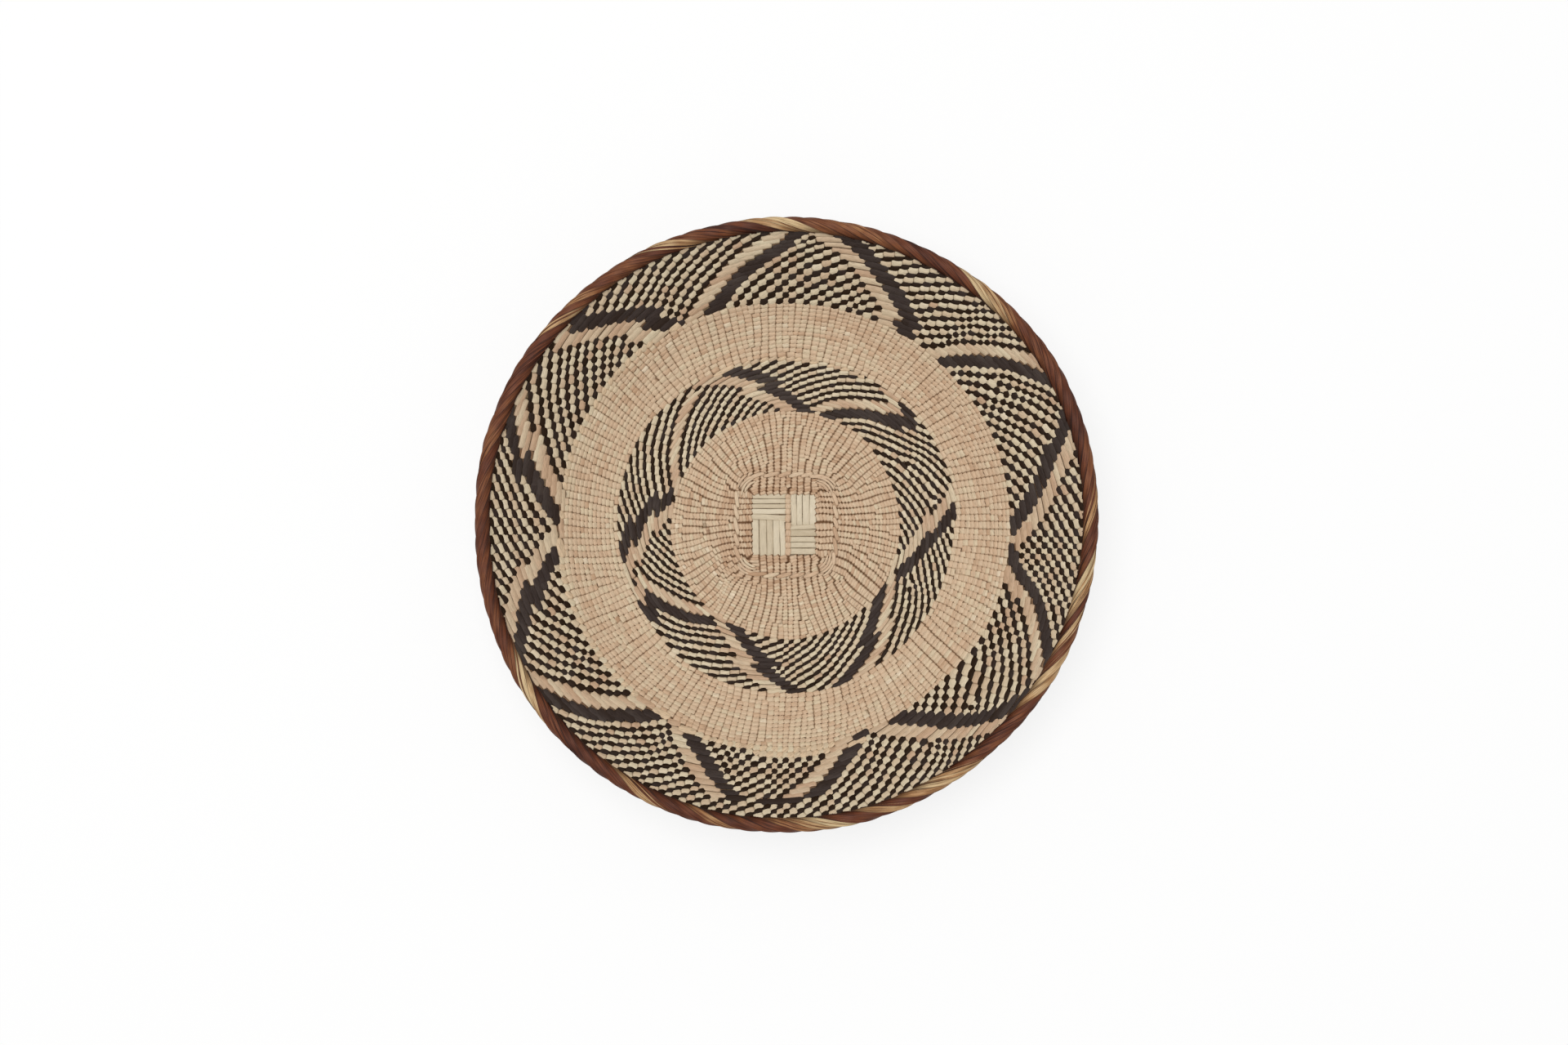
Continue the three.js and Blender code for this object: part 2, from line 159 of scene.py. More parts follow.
def wall_point(angle, row):
    """Point and normal of the wall's middle, for angles round the axis and places counted in rows."""
    waves = sum(
        height * np.sin(count * angle + phase + WAVE_DRIFT * count * row)
        for (count, height), phase in zip(ROW_WAVES, wave_phases)
    )
    fade = np.clip(row / WAVE_IN_ROWS, 0, 1) * np.clip((ROW_COUNT - row) / WAVE_OUT_ROWS, 0, 1)
    place = row + waves * fade
    inside = square_radius(angle)
    share = np.clip(place / CENTRE_ROWS, 0, 1)
    length = np.where(
        place < CENTRE_ROWS,
        inside + (RING_LENGTHS[0] - inside) * share,
        np.interp(place, RING_ROWS + [ROW_COUNT + ROWS_PAST_END],
                  RING_LENGTHS + [RING_LENGTHS[-1] + LENGTH_PAST_END]),
    )
    radius, height, slope = wall_section(length)
    cosine, sine = np.cos(angle), np.sin(angle)
    shift = SQUARE_SHIFT * (1 - share) ** 2
    point = np.stack([radius * cosine + shift, radius * sine, height], -1)
    normal = np.stack([-np.sin(slope) * cosine, -np.sin(slope) * sine, np.cos(slope)], -1)
    return point, normal


def wall_radius(angle, row):
    """Distance from the axis to the wall at one row."""
    point, _normal = wall_point(np.asarray(angle), np.full(np.shape(angle), float(row)))
    return np.hypot(point[..., 0], point[..., 1])


def unit(vectors):
    """The same directions, each with a length of 1."""
    return vectors / np.linalg.norm(vectors, axis=-1, keepdims=True)


# The rim isn't a true circle: it stands out or in by these millimetres, at even steps round it
OUTLINE_MM = [0.9, 3.0, 3.8, 2.0, -0.6, -1.5, -2.0, -2.0, -0.6, 0.3, 1.5, 1.8,
              0.3, 0.9, 1.2, 1.2, 0.0, -0.9, -2.6, -2.6, -2.9, -2.9, -0.9, -0.3]
OUTLINE_DEGREES = np.linspace(0, 360, len(OUTLINE_MM) + 1)


def settle(points):
    """Gives the round basket the uneven outline of a handmade one, more and more towards its rim."""
    radius = np.hypot(points[:, 0], points[:, 1])
    degrees = np.degrees(np.arctan2(points[:, 1], points[:, 0])) % 360
    stand = np.interp(degrees, OUTLINE_DEGREES, OUTLINE_MM + OUTLINE_MM[:1])
    scale = 1 + stand / RIM_RADIUS * (radius / RIM_RADIUS) ** 2
    settled = points.copy()
    settled[:, :2] *= scale[:, None]
    return settled


def place_object(name, data):
    """Puts an object with this data into the scene."""
    placed = bpy.data.objects.new(name, data)
    bpy.context.scene.collection.objects.link(placed)
    return placed


# Meshes
# A strand's section: how its points crowd to its edges, how narrow the painted shade lines along its
# edges are, below which sine its back begins, and how far apart the fibres of two strands may start
EDGE_CROWDING = 0.25
EDGE_SHARPNESS = 12
TURNED_UNDER = -0.1
GRAIN_STARTS = 100


def section_turns(sides):
    """Angles round the section of a strand, closer together at its two edges."""
    even = TURN * np.arange(sides) / sides
    return even - EDGE_CROWDING * np.sin(2 * even)


def painted_edge_shade(sides, amount):
    """How much of the colour shows at each side of a strand's section: painted shade takes this amount
    off at its two edges.
    """
    return 1 - amount * np.abs(np.cos(section_turns(sides))) ** EDGE_SHARPNESS


class Weave:
    """Collects swept strands, and makes one mesh of them with what their material reads."""

    def __init__(self):
        self.points, self.quads, self.grain, self.tone, self.shown = [], [], [], [], []
        self.size = 0

    def add(self, centres, outward, half_width, half_thickness, tone, shown, closed, sides=8, boxy=0.8):
        """A strand through centres, its flat face towards outward. Closed strands join their ends."""
        count = len(centres)
        if closed:
            ahead = np.roll(centres, -1, 0) - np.roll(centres, 1, 0)
        else:
            ahead = np.gradient(centres, axis=0)
        ahead = unit(ahead)
        across = unit(np.cross(ahead, outward))
        face = np.cross(across, ahead)
        turn = section_turns(sides)
        flat = np.sign(np.sin(turn)) * np.abs(np.sin(turn)) ** boxy
        half_width = np.broadcast_to(half_width, count)
        half_thickness = np.broadcast_to(half_thickness, count)
        points = (
            centres[:, None]
            + across[:, None] * (half_width[:, None] * np.cos(turn))[..., None]
            + face[:, None] * (half_thickness[:, None] * flat)[..., None]
        )
        side = np.arange(sides)
        next_side = (side + 1) % sides
        here = np.arange(count if closed else count - 1)[:, None]
        there = (here + 1) % count
        corners = [here * sides + side, there * sides + side,
                   there * sides + next_side, here * sides + next_side]
        quads = np.stack(corners, -1).reshape(-1, 4)
        if not closed:
            start = np.array([[k, k + 1, sides - 2 - k, sides - 1 - k] for k in range(sides // 2 - 1)])
            end = start[:, ::-1] + (count - 1) * sides
            quads = np.concatenate([quads, start, end])
        travelled = np.concatenate([[0], np.cumsum(np.linalg.norm(np.diff(centres, axis=0), axis=1))])
        face_sign = np.where(np.sin(turn) < TURNED_UNDER, -1, 1)
        grain = np.zeros((count, sides, 3))
        grain[..., 0] = half_width[:, None] * np.cos(turn) * face_sign
        grain[..., 1] = travelled[:, None]
        grain[..., 2] = random.uniform(0, GRAIN_STARTS)
        self.points.append(points.reshape(-1, 3))
        self.quads.append(quads + self.size)
        self.grain.append(grain.reshape(-1, 3))
        self.tone.append(np.repeat(np.broadcast_to(tone, count), sides))
        # shown is a painted-shade level for each point: 1 keeps the full colour, and lower values darken
        # it
        shown = np.asarray(shown, float)
        if shown.ndim < 2:
            shown = np.broadcast_to(shown, count)[:, None]
        self.shown.append(np.broadcast_to(shown, (count, sides)).ravel())
        self.size += count * sides

    def build(self, name, material, slot, nodes):
        """Makes the piece, which rides on the basket's one body and stands for the CAD nodes."""
        points = settle(np.concatenate(self.points)) * MM
        quads = np.concatenate(self.quads)
        mesh = bpy.data.meshes.new(name)
        mesh.vertices.add(len(points))
        mesh.vertices.foreach_set("co", points.astype(np.float32).ravel())
        mesh.loops.add(quads.size)
        mesh.loops.foreach_set("vertex_index", quads.astype(np.int32).ravel())
        mesh.polygons.add(len(quads))
        mesh.polygons.foreach_set("loop_start", np.arange(0, quads.size, 4, dtype=np.int32))
        mesh.update(calc_edges=True)
        mesh.polygons.foreach_set("use_smooth", np.ones(len(quads), bool))
        # The "shown" attribute carries the painted shade to the material
        for label, kind, field, values in (
            ("grain", "FLOAT_VECTOR", "vector", self.grain),
            ("tone", "FLOAT", "value", self.tone),
            ("shown", "FLOAT", "value", self.shown),
        ):
            attribute = mesh.attributes.new(label, kind, "POINT")
            attribute.data.foreach_set(field, np.concatenate(values).astype(np.float32).ravel())
        mesh.materials.append(material)
        piece = place_object(name, mesh)
        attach(piece, "root")
        if nodes:
            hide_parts(*nodes)
        return piece


# Materials
# The colour sockets of the Mix node, which its sockets' names don't tell apart
MIX_SHARE, MIX_FIRST, MIX_SECOND, MIX_RESULT = 0, 6, 7, 2
FIBRE_DEPTH = 7.0
BLOTCH_SCALE = 60.0
BUMP_HEIGHT = 0.15 * MM
# At these places in the fibres' noise, how much lighter a full streak is, and how much rougher
STREAK_STOPS = [(0.32, -1.6), (0.5, 0), (0.7, 0.5)]
GLOSS_STOPS = [(0.3, 0.12), (0.7, -0.1)]
# From this place of the "shown" level upwards, painted shade no longer darkens the colour
NO_PAINTED_SHADE_FROM = 0.62
WHITE = (1, 1, 1, 1)


def colour(red, green, blue):
    """A colour given in the usual 0 to 255 values, as Blender wants it."""
    linear = []
    for value in (red, green, blue):
        share = value / 255
        linear.append(share / 12.92 if share <= 0.04045 else ((share + 0.055) / 1.055) ** 2.4)
    return (*linear, 1)


def grey(value):
    return (value, value, value, 1)


def set_inputs(tree, node, inputs):
    """Sets each input, by its name or number, to a value, or links it to a socket."""
    for name, value in dict(inputs).items():
        if isinstance(value, bpy.types.NodeSocket):
            tree.links.new(value, node.inputs[name])
        else:
            node.inputs[name].default_value = value


def add_node(tree, kind, inputs=(), **settings):
    node = tree.nodes.new(kind)
    for name, value in settings.items():
        setattr(node, name, value)
    set_inputs(tree, node, inputs)
    return node


def ramp_node(tree, source, stops):
    """A colour ramp over source, with stops of (place, colour)."""
    ramp = add_node(tree, "ShaderNodeValToRGB", {0: source})
    elements = ramp.color_ramp.elements
    while len(elements) < len(stops):
        elements.new(0.5)
    for element, (place, shade) in zip(elements, stops):
        element.position = place
        element.color = shade
    return ramp.outputs[0]


def math_node(tree, operation, *values):
    return add_node(tree, "ShaderNodeMath", enumerate(values), operation=operation).outputs[0]


def multiply_colours(tree, first, second):
    inputs = {MIX_SHARE: 1.0, MIX_FIRST: first, MIX_SECOND: second}
    node = add_node(tree, "ShaderNodeMix", inputs, data_type="RGBA", blend_type="MULTIPLY")
    return node.outputs[MIX_RESULT]


def noise(tree, **inputs):
    return add_node(tree, "ShaderNodeTexNoise", inputs).outputs["Fac"]


def palm_material(name, shades, painted_shade_colour, roughness, streak=0.22, patch=0.5, relief=0.35, fleck=0.0,
                  fibre=3.2, stretch=0.07, shine=0.35):
    """Palm leaf: shades by tone, streaks along its fibres, blotches, and painted shade where it goes
    under.
    """
    material = bpy.data.materials.new(name)
    material.use_nodes = True
    tree = material.node_tree
    grain, tone, shown = (
        add_node(tree, "ShaderNodeAttribute", attribute_name=label)
        for label in ("grain", "tone", "shown")
    )

    # Fibres are fine across the strand and long along it, and blotches go over a few stitches
    scale = (fibre, stretch * fibre, FIBRE_DEPTH)
    drawn_out = add_node(tree, "ShaderNodeMapping", {"Vector": grain.outputs["Vector"], "Scale": scale})
    fibres = noise(tree, Vector=drawn_out.outputs["Vector"], Scale=1.0, Detail=3.0, Roughness=0.6)
    place = add_node(tree, "ShaderNodeTexCoord")
    blotches = noise(tree, Vector=place.outputs["Object"], Scale=BLOTCH_SCALE, Detail=2.0)

    place_in_ramp = tone.outputs["Fac"]
    for pattern, amount in ((blotches, patch), (fibres, fleck)):
        if amount:
            change = math_node(tree, "MULTIPLY_ADD", pattern, amount, -amount / 2)
            place_in_ramp = math_node(tree, "ADD", place_in_ramp, change)
    base = ramp_node(tree, place_in_ramp, [(stop, colour(*shade)) for stop, *shade in shades])

    streaks = ramp_node(tree, fibres, [(stop, grey(1 + streak * gain)) for stop, gain in STREAK_STOPS])
    streaked = multiply_colours(tree, base, streaks)
    # Painted shade: where the "shown" level is low, the colour goes towards the material's shade colour
    under = ramp_node(tree, shown.outputs["Fac"], [(0.0, (*painted_shade_colour, 1)), (NO_PAINTED_SHADE_FROM, WHITE)])
    bump = add_node(tree, "ShaderNodeBump", {
        "Strength": relief, "Distance": BUMP_HEIGHT, "Height": fibres,
    })
    gloss = ramp_node(tree, fibres, [(stop, grey(roughness + more)) for stop, more in GLOSS_STOPS])
    set_inputs(tree, tree.nodes["Principled BSDF"], {
        "Base Color": multiply_colours(tree, streaked, under), "Normal": bump.outputs["Normal"],
        "Roughness": gloss, "Specular IOR Level": shine,
    })
    return material


natural_palm = palm_material(
    "natural_palm",
    [(0.0, 180, 144, 112), (0.3, 203, 172, 141), (0.55, 210, 184, 154), (0.8, 211, 191, 160),
     (1.0, 224, 205, 178)],
    (0.27, 0.18, 0.11), 0.62, patch=0.45,
)
pale_palm = palm_material(
    "pale_palm",
    [(0.0, 190, 158, 128), (0.35, 204, 182, 152), (0.65, 210, 194, 164), (1.0, 218, 201, 173)],
    (0.16, 0.1, 0.07), 0.58,
)
# The greyer dyed tones at 0.8 and 0.95 are painted sheen, reached mostly by long dark floats
dyed_palm = palm_material(
    "dyed_palm",
    [(0.0, 22, 11, 2), (0.45, 38, 23, 9), (0.8, 58, 48, 44), (0.95, 78, 68, 62), (1.0, 212, 186, 154)],
    (0.5, 0.42, 0.34), 0.6, streak=0.3, patch=0.2, shine=0.1,
)
strip_palm = palm_material(
    "strip_palm",
    [(0.0, 184, 166, 136), (0.5, 200, 184, 156), (1.0, 212, 198, 172)],
    (0.35, 0.26, 0.18), 0.5, streak=0.1, patch=0.4, relief=0.2,
)
brown_palm = palm_material(
    "brown_palm",
    [(0.0, 60, 26, 13), (0.3, 98, 52, 31), (0.55, 128, 80, 49), (0.75, 168, 126, 84),
     (1.0, 204, 178, 136)],
    (0.12, 0.06, 0.04), 0.55, streak=0.42, fleck=0.55, fibre=3.0, stretch=0.02, relief=0.8, shine=0.2,
)
hoop_palm = palm_material(
    "hoop_palm", [(0.0, 120, 88, 56), (1.0, 160, 122, 82)], (0.6, 0.5, 0.4), 0.7,
)


# Stakes: the strips' arms leave the square side by side, fan out, and are joined by added ones

lengthwise = [place for place, _width, _lean in LENGTHWISE]
crosswise = [place for place, _width, _lean in CROSSWISE]
lengthwise_from_axis = [x - SQUARE_SHIFT for x in lengthwise]
STAKES_PER_CORNER = 4


class Side:
    """A side of the square: the angle of its middle, how far off it is, where its arms leave it, and
    the slots of its arms and of the stakes in the corner after it."""

    def __init__(self, angle, edge, laterals, first_slot):
        self.angle, self.edge, self.laterals = angle, edge, laterals
        corner = first_slot + len(laterals)
        self.arms = range(first_slot, corner)
        self.corner = range(corner, corner + STAKES_PER_CORNER)


sides = []
slot_count = 0
for side_angle, edge, laterals in (
    (0, SQUARE_HALF_X, crosswise),
    (TURN / 4, SQUARE_HALF_Y, [-x for x in reversed(lengthwise_from_axis)]),
    (TURN / 2, SQUARE_HALF_X, [-y for y in reversed(crosswise)]),
    (3 * TURN / 4, SQUARE_HALF_Y, lengthwise_from_axis),
):
    sides.append(Side(side_angle, edge, laterals, slot_count))
    slot_count = sides[-1].corner.stop
right_side, far_side, left_side, near_side = sides
SLOT_PITCH = TURN / slot_count
first_slot_angle = -(len(crosswise) / 2 - 0.5) * SLOT_PITCH

# How many stakes there are by row, counted in the photograph
STAKE_ROWS = [0, 3, 6, 9, 13, 16, 19, 21, 23, 29, 33, 37, 38, 40, 43, 46, 49, 51, 54, 58, 62]
STAKE_COUNTS = [38, 42, 54, 68, 82, 88, 96, 108, 118, 120, 130, 130, 146, 172, 180, 190, 202, 212,
                216, 222, 228]
STAKE_ROOM = (0.7, 1.3)

# How many degrees the stakes lean back over the middle field, at these degrees round the basket
LEAN_PLACES = [0, 12, 24, 32, 45, 80, 100, 115, 130, 150, 167, 178, 192, 204, 217, 232, 245, 260,
               270, 280, 290, 310, 330, 342, 360]
LEAN_DEGREES = [0.6, 0.9, 3.2, 1.2, 0.6, 0.6, 1.8, 1.4, 1.0, 0.8, 2.2, 1.0, 4.0, 1.0, 2.2, 1.0, 0.6, -0.4,
                1.0, 4.2, 2.0, 0.9, 2.4, 0.1, 0.6]
PATTERN_ROWS = {*range(INNER_START, MIDDLE_START), *range(OUTER_START, ROW_COUNT)}
# Each stake of a corner: the row at which it starts, and its place in the corner
CORNER_STARTS = {3: 2, 4: 1, 6: 3, 8: 0}
# Up to this row, corner stakes lie freely, and the widest gap is the longest and not the widest angle
FREE_ROW = 12
# Gaps are compared after a change by a share between these two, so that new stakes start unevenly
GAP_NOISE = (0.92, 1.08)
# Arms stay on their guides in the first rows, and are then drawn to them less and less
STRICT_ROWS = 4
PULL_ROWS = [0, 4, 12, 22]
PULLS = [1, 0.9, 0.25, 0.03]
GUIDE_PASSES = 4
SPACING_PASSES = 6
SPACING_SHARE = 0.22


class Stake:
    """A stake, with its share of room and the angle at which it passes each row from its first."""

    def __init__(self, first_row, slot=None):
        self.first_row, self.slot = first_row, slot
        self.is_arm = slot is not None and first_row == 0
        self.room = random.uniform(*STAKE_ROOM)
        self.angles = []


def guide_angles(row):
    """The angle at this row for each arm and each corner stake, by slot."""
    angles = np.full(slot_count, np.nan)
    for side in sides:
        for slot, lateral in zip(side.arms, side.laterals):
            slot_angle = first_slot_angle + slot * SLOT_PITCH
            start = math.hypot(side.edge, lateral)
            angle = side.angle + math.atan2(lateral, side.edge)
            for _ in range(GUIDE_PASSES):
                point, _normal = wall_point(np.array([angle]), np.array([float(row)]))
                radius = max(math.hypot(point[0, 0], point[0, 1]), start)
                share = min((radius - start) / (BASE_RADIUS - start), 1)
                share = share * share * (3 - 2 * share)
                straight = side.angle + math.asin(lateral / radius)
                angle = straight + (slot_angle - straight) * share
            angles[slot] = angle
    for side in sides:
        before = angles[side.arms[-1]]
        gap = (angles[side.corner.stop % slot_count] - before) % TURN
        for i, slot in enumerate(side.corner):
            angles[slot] = before + gap * (i + 1) / (STAKES_PER_CORNER + 1)
    return angles


def space_evenly(stakes, angles, guides, row):
    """Moves each stake towards the middle of its room, and each arm or corner stake to its guide."""
    pull = np.interp(row, PULL_ROWS, PULLS) / 3
    room = np.array([s.room for s in stakes])
    room_share = np.roll(room, 1) / (np.roll(room, 1) + room)
    for _ in range(SPACING_PASSES):
        around = np.array(angles)
        ahead = np.roll(around, -1)
        ahead[-1] += TURN
        behind = np.roll(around, 1)
        behind[0] -= TURN
        around = around + SPACING_SHARE * (behind + (ahead - behind) * room_share - around)
        for i, stake in enumerate(stakes):
            if stake.is_arm or (stake.slot is not None and row >= FREE_ROW):
                around[i] += pull * (guides[stake.slot] - around[i])
        angles = list(around)
    return angles


def add_corner_stakes(stakes, angles, row):
    """Puts in the stake that starts at this row in each corner, half way between its neighbours."""
    for side in sides:
        slot = side.corner[CORNER_STARTS[row]]
        later = (i for i, s in enumerate(stakes) if s.slot is not None and s.slot > slot)
        place = next(later, len(stakes))
        before = angles[place - 1]
        after = angles[place % len(angles)] + (TURN if place == len(angles) else 0)
        stakes.insert(place, Stake(row, slot))
        angles.insert(place, (before + after) / 2)


def fill_widest_gaps(stakes, angles, row):
    """Puts in new stakes until there are as many as this row has. In a patterned row they come in
    twos, which keeps the checks beyond them in step."""
    wanted = int(np.interp(row, STAKE_ROWS, STAKE_COUNTS)) // 2 * 2
    while len(stakes) < wanted:
        gaps = np.diff(np.array(angles + [angles[0] + TURN]))
        luck = random.uniform(*GAP_NOISE, len(gaps))
        middle = np.array(angles) + gaps / 2
        lengths = gaps * (1 if row > FREE_ROW else wall_radius(middle, row)) * luck
        # The last gaps are left out, so that a second one is always there
        place = int(np.argmax(lengths[:-3]))
        for spot in (place, place + 2):
            angles.insert(spot + 1, (angles[spot] + angles[spot + 1]) / 2)
            stakes.insert(spot + 1, Stake(row))
            if row not in PATTERN_ROWS:
                break


def lay_out_stakes():
    """Runs up the wall row by row: spaces the stakes evenly, and puts new ones in the widest gaps."""
    guides = guide_angles(0)
    stakes = [Stake(0, slot) for side in sides for slot in side.arms]
    angles = [guides[s.slot] for s in stakes]
    for row in range(ROW_COUNT + 2):
        guides = guide_angles(row)
        if row in CORNER_STARTS:
            add_corner_stakes(stakes, angles, row)
        fill_widest_gaps(stakes, angles, row)
        if MIDDLE_START <= row < OUTER_START:
            lean = np.interp(np.degrees(angles) % 360, LEAN_PLACES, LEAN_DEGREES)
            angles = list(np.array(angles) - np.radians(lean) / MIDDLE_ROWS)
        angles = space_evenly(stakes, angles, guides, row)
        if row < STRICT_ROWS:
            for i, stake in enumerate(stakes):
                if stake.is_arm:
                    angles[i] = guides[stake.slot]
        for stake, angle in zip(stakes, angles):
            stake.angles.append(angle)
    return stakes


STAKE_WANDER = 0.07
WANDER_PACE = 0.45
WANDER_IN_ROWS = 4


def let_stakes_wander():
    """Moves each stake a little to and fro on its way up, as a share of the space between stakes."""
    for stake in stakes:
        phase = random.uniform(0, TURN)
        for i, angle in enumerate(stake.angles):
            row = stake.first_row + i
            space = TURN / np.interp(row, STAKE_ROWS, STAKE_COUNTS)
            share = min(row / WANDER_IN_ROWS, 1)
            stake.angles[i] = angle + STAKE_WANDER * space * share * math.sin(WANDER_PACE * row + phase)


stakes = lay_out_stakes()
let_stakes_wander()


def row_angles(row):
    return np.array([s.angles[row - s.first_row] for s in stakes if s.first_row <= row])


# The pattern: which colour shows at each stake of a row, dark as 0 and light as 1
DARK, LIGHT = 0, 1
FLOAT_STAKES = 3
SPLIT_CHOICES = (-2, -1, 0, 1, 2)
TURN_BACK_COST = 1.1

# Bands of long floats, as read off the photograph: the degrees of the line between the band's two
# colours at shares of the way from the ring's inner edge to its outer edge, and the first colour
INNER_BANDS = [
    ([(0.0, 338.6), (1.0, 372.4)], DARK),
    ([(0.0, 72.2), (0.72, 48.6), (1.0, 46.5)], DARK),
    ([(0.0, 86.5), (1.0, 117.5)], DARK),
    ([(0.0, 169.8), (0.6, 186.6), (0.76, 187.4), (1.0, 194.2)], DARK),
    ([(0.0, 237.0), (0.62, 211.5), (0.75, 208.5), (1.0, 206.5)], LIGHT),
    ([(0.0, 240.5), (1.0, 277.0)], LIGHT),
    ([(0.0, 331.3), (0.72, 303.0), (1.0, 299.0)], DARK),
]
OUTER_BANDS = [
    ([(0.0, -0.6), (1.0, 20.0)], LIGHT),
    ([(0.0, 51.8), (1.0, 30.2)], DARK),
    ([(0.0, 60.2), (1.0, 79.8)], DARK),
    ([(0.0, 113.0), (1.0, 89.2)], DARK),
    ([(0.0, 122.6), (1.0, 139.0)], DARK),
    ([(0.0, 177.2), (1.0, 156.8)], LIGHT),
    ([(0.0, 184.0), (1.0, 203.4)], LIGHT),
    ([(0.0, 236.4), (1.0, 210.6)], LIGHT),
    ([(0.0, 242.0), (0.76, 262.4)], LIGHT),
    ([(0.0, 290.6), (0.7, 268.4)], LIGHT),
    ([(0.0, 298.8), (1.0, 319.6)], LIGHT),
    ([(0.0, 354.0), (1.0, 330.6)], LIGHT),
]

# Where one point of the outer zigzag closes in a dark arch: its row, and its degrees
ARCH_ROW = OUTER_START + 10
ARCH_DEGREES = (262.4, 272.6)

# A band of light floats alone: the degrees of its middle at the ring's inner edge, and its rows
LIGHT_BAND_DEGREES = 165.0
LIGHT_BAND_ROWS = 12

# Where the dark strand of a ring gives way to a natural one: first and last row, from and to degrees
NATURAL_PATCHES = [
    (MIDDLE_START - 1, MIDDLE_START - 1, 62, 119),
    (OUTER_START, OUTER_START, 118, 286),
    (OUTER_START + 1, OUTER_START + 1, 262, 292),
]


def apart(angle, other):
    """The angle from another one to this one, the shorter way round."""
    return (angle - other + math.pi) % TURN - math.pi


def nearest(angles, angle):
    return int(np.argmin(np.abs(apart(angles, angle))))


def checks(row):
    """Plain checks: dark at every other stake, moved on by one stake at each row."""
    count = len(row_angles(row))
    return (np.arange(count) + row) % 2


def band_splits(first_row, rows, line, before):
    """For each row, the stake at which a band's second colour starts. It moves on by one stake a
    row, so that every float is as long, and turns back only where the line leaves it behind."""
    place = (np.arange(rows) + 0.5) / rows
    wanted = np.radians(np.interp(place, [p for p, _ in line], [d for _, d in line]))
    start = int(rows * line[-1][0] / 2)
    splits = {}
    for way in (1, -1):
        angle, step = wanted[start], 0
        for i in range(start, rows if way > 0 else -1, way):
            if place[i] > line[-1][0]:
                break
            angles = row_angles(first_row + i)
            plain = checks(first_row + i)
            count = len(angles)
            split = nearest(angles, angle)
            choices = [split + k for k in SPLIT_CHOICES if plain[(split + k - 1) % count] == before]

            def miss(choice):
                turned_back = step and (choice - split) * step < 0
                cost = TURN_BACK_COST if turned_back else 0
                return abs(apart(angles[choice % count], wanted[i])) * count / TURN + cost

            chosen = min(choices, key=miss)
            if i != start:
                step = chosen - split
            splits[i] = chosen
            angle = angles[chosen % count]
    return splits


def weave_pattern(first_row, rows, bands):
    """Which colour shows at each stake, for each row of a patterned ring."""
    shown = {row: checks(row) for row in range(first_row, first_row + rows)}
    for line, before in bands:
        after = DARK if before == LIGHT else LIGHT
        for i, split in band_splits(first_row, rows, line, before).items():
            colours = shown[first_row + i]
            count = len(colours)
            colours[np.arange(split - FLOAT_STAKES, split) % count] = before
            colours[np.arange(split, split + FLOAT_STAKES) % count] = after
    return shown


def add_light_band(shown):
    """The inner ring's one band that has light floats only."""
    middle = math.radians(LIGHT_BAND_DEGREES)
    for row in range(INNER_START, INNER_START + LIGHT_BAND_ROWS):
        angles = row_angles(row)
        first = nearest(angles, middle) - 1
        if checks(row)[first] != LIGHT:
            first -= 1
        shown[row][first:first + FLOAT_STAKES] = LIGHT
        middle = angles[first]


def add_arch(shown):
    """The dark floats that close one point of the outer zigzag."""
    angles = row_angles(ARCH_ROW)
    plain = checks(ARCH_ROW)
    start, end = (nearest(angles, math.radians(d)) for d in ARCH_DEGREES)
    if plain[start] != DARK:
        start += 1
    if plain[end] != DARK:
        end += 1
    shown[ARCH_ROW][start:end + 1] = DARK


patterns = {
    **weave_pattern(INNER_START, INNER_ROWS, INNER_BANDS),
    **weave_pattern(OUTER_START, OUTER_ROWS, OUTER_BANDS),
}
add_light_band(patterns)
add_arch(patterns)


def dyed_where(row, angles):
    """1 where the dark strand of this row is dyed, and 0 in its natural patches."""
    degrees = np.degrees(angles) % 360
    dyed = np.ones(len(angles))
    for first, last, start, end in NATURAL_PATCHES:
        if first <= row <= last:
            dyed[(degrees > start) & (degrees < end)] = 0
    return dyed


# Twining

def runs_of(fronts):
    """For each stake, how far into its run of one side it is, and how long that run is."""
    count = len(fronts)
    starts = np.flatnonzero(fronts != np.roll(fronts, 1))
    ends = np.append(starts[1:], starts[0] + count)
    offset, length, number = np.zeros(count), np.zeros(count), np.zeros(count, int)
    for k, (start, end) in enumerate(zip(starts, ends)):
        around = np.arange(start, end) % count
        offset[around] = np.arange(end - start)
        length[around] = end - start
        number[around] = k
    return offset, length, number


def strand_tones(count, spread, reach=(8, 40)):
    """Tones along a row, which change where one leaf is spliced to the next."""
    tones = np.zeros(count)
    start = int(random.integers(0, count))
    done = 0
    while done < count:
        length = int(random.integers(*reach))
        around = (start + done + np.arange(min(length, count - done))) % count
        tones[around] = random.normal(0.5, spread)
        done += length
    return tones


class Stitch(NamedTuple):
    """How a kind of strand lies. A pair holds for a stitch over one stake and for a longer float."""

    width: tuple  # as a share of the row pitch
    swing: tuple  # how far it goes across its row, as a share of the row pitch
    crossing: tuple  # its width where two strands cross, as a share of its width
    steepness: float  # how steeply it goes down between stakes
    boxy: float  # how round its section is: a small one is square
    line: float  # how dark the painted shade along its edges is
    variety: float  # how much its tone changes from one stitch to the next
    groove_shade: float  # how wide the painted shade between stakes is
    tone_spread: float = 0.12  # how much its tone changes from leaf to leaf
    height: float = 1.0  # how high it stands over a stake, as a share of the strand's lift


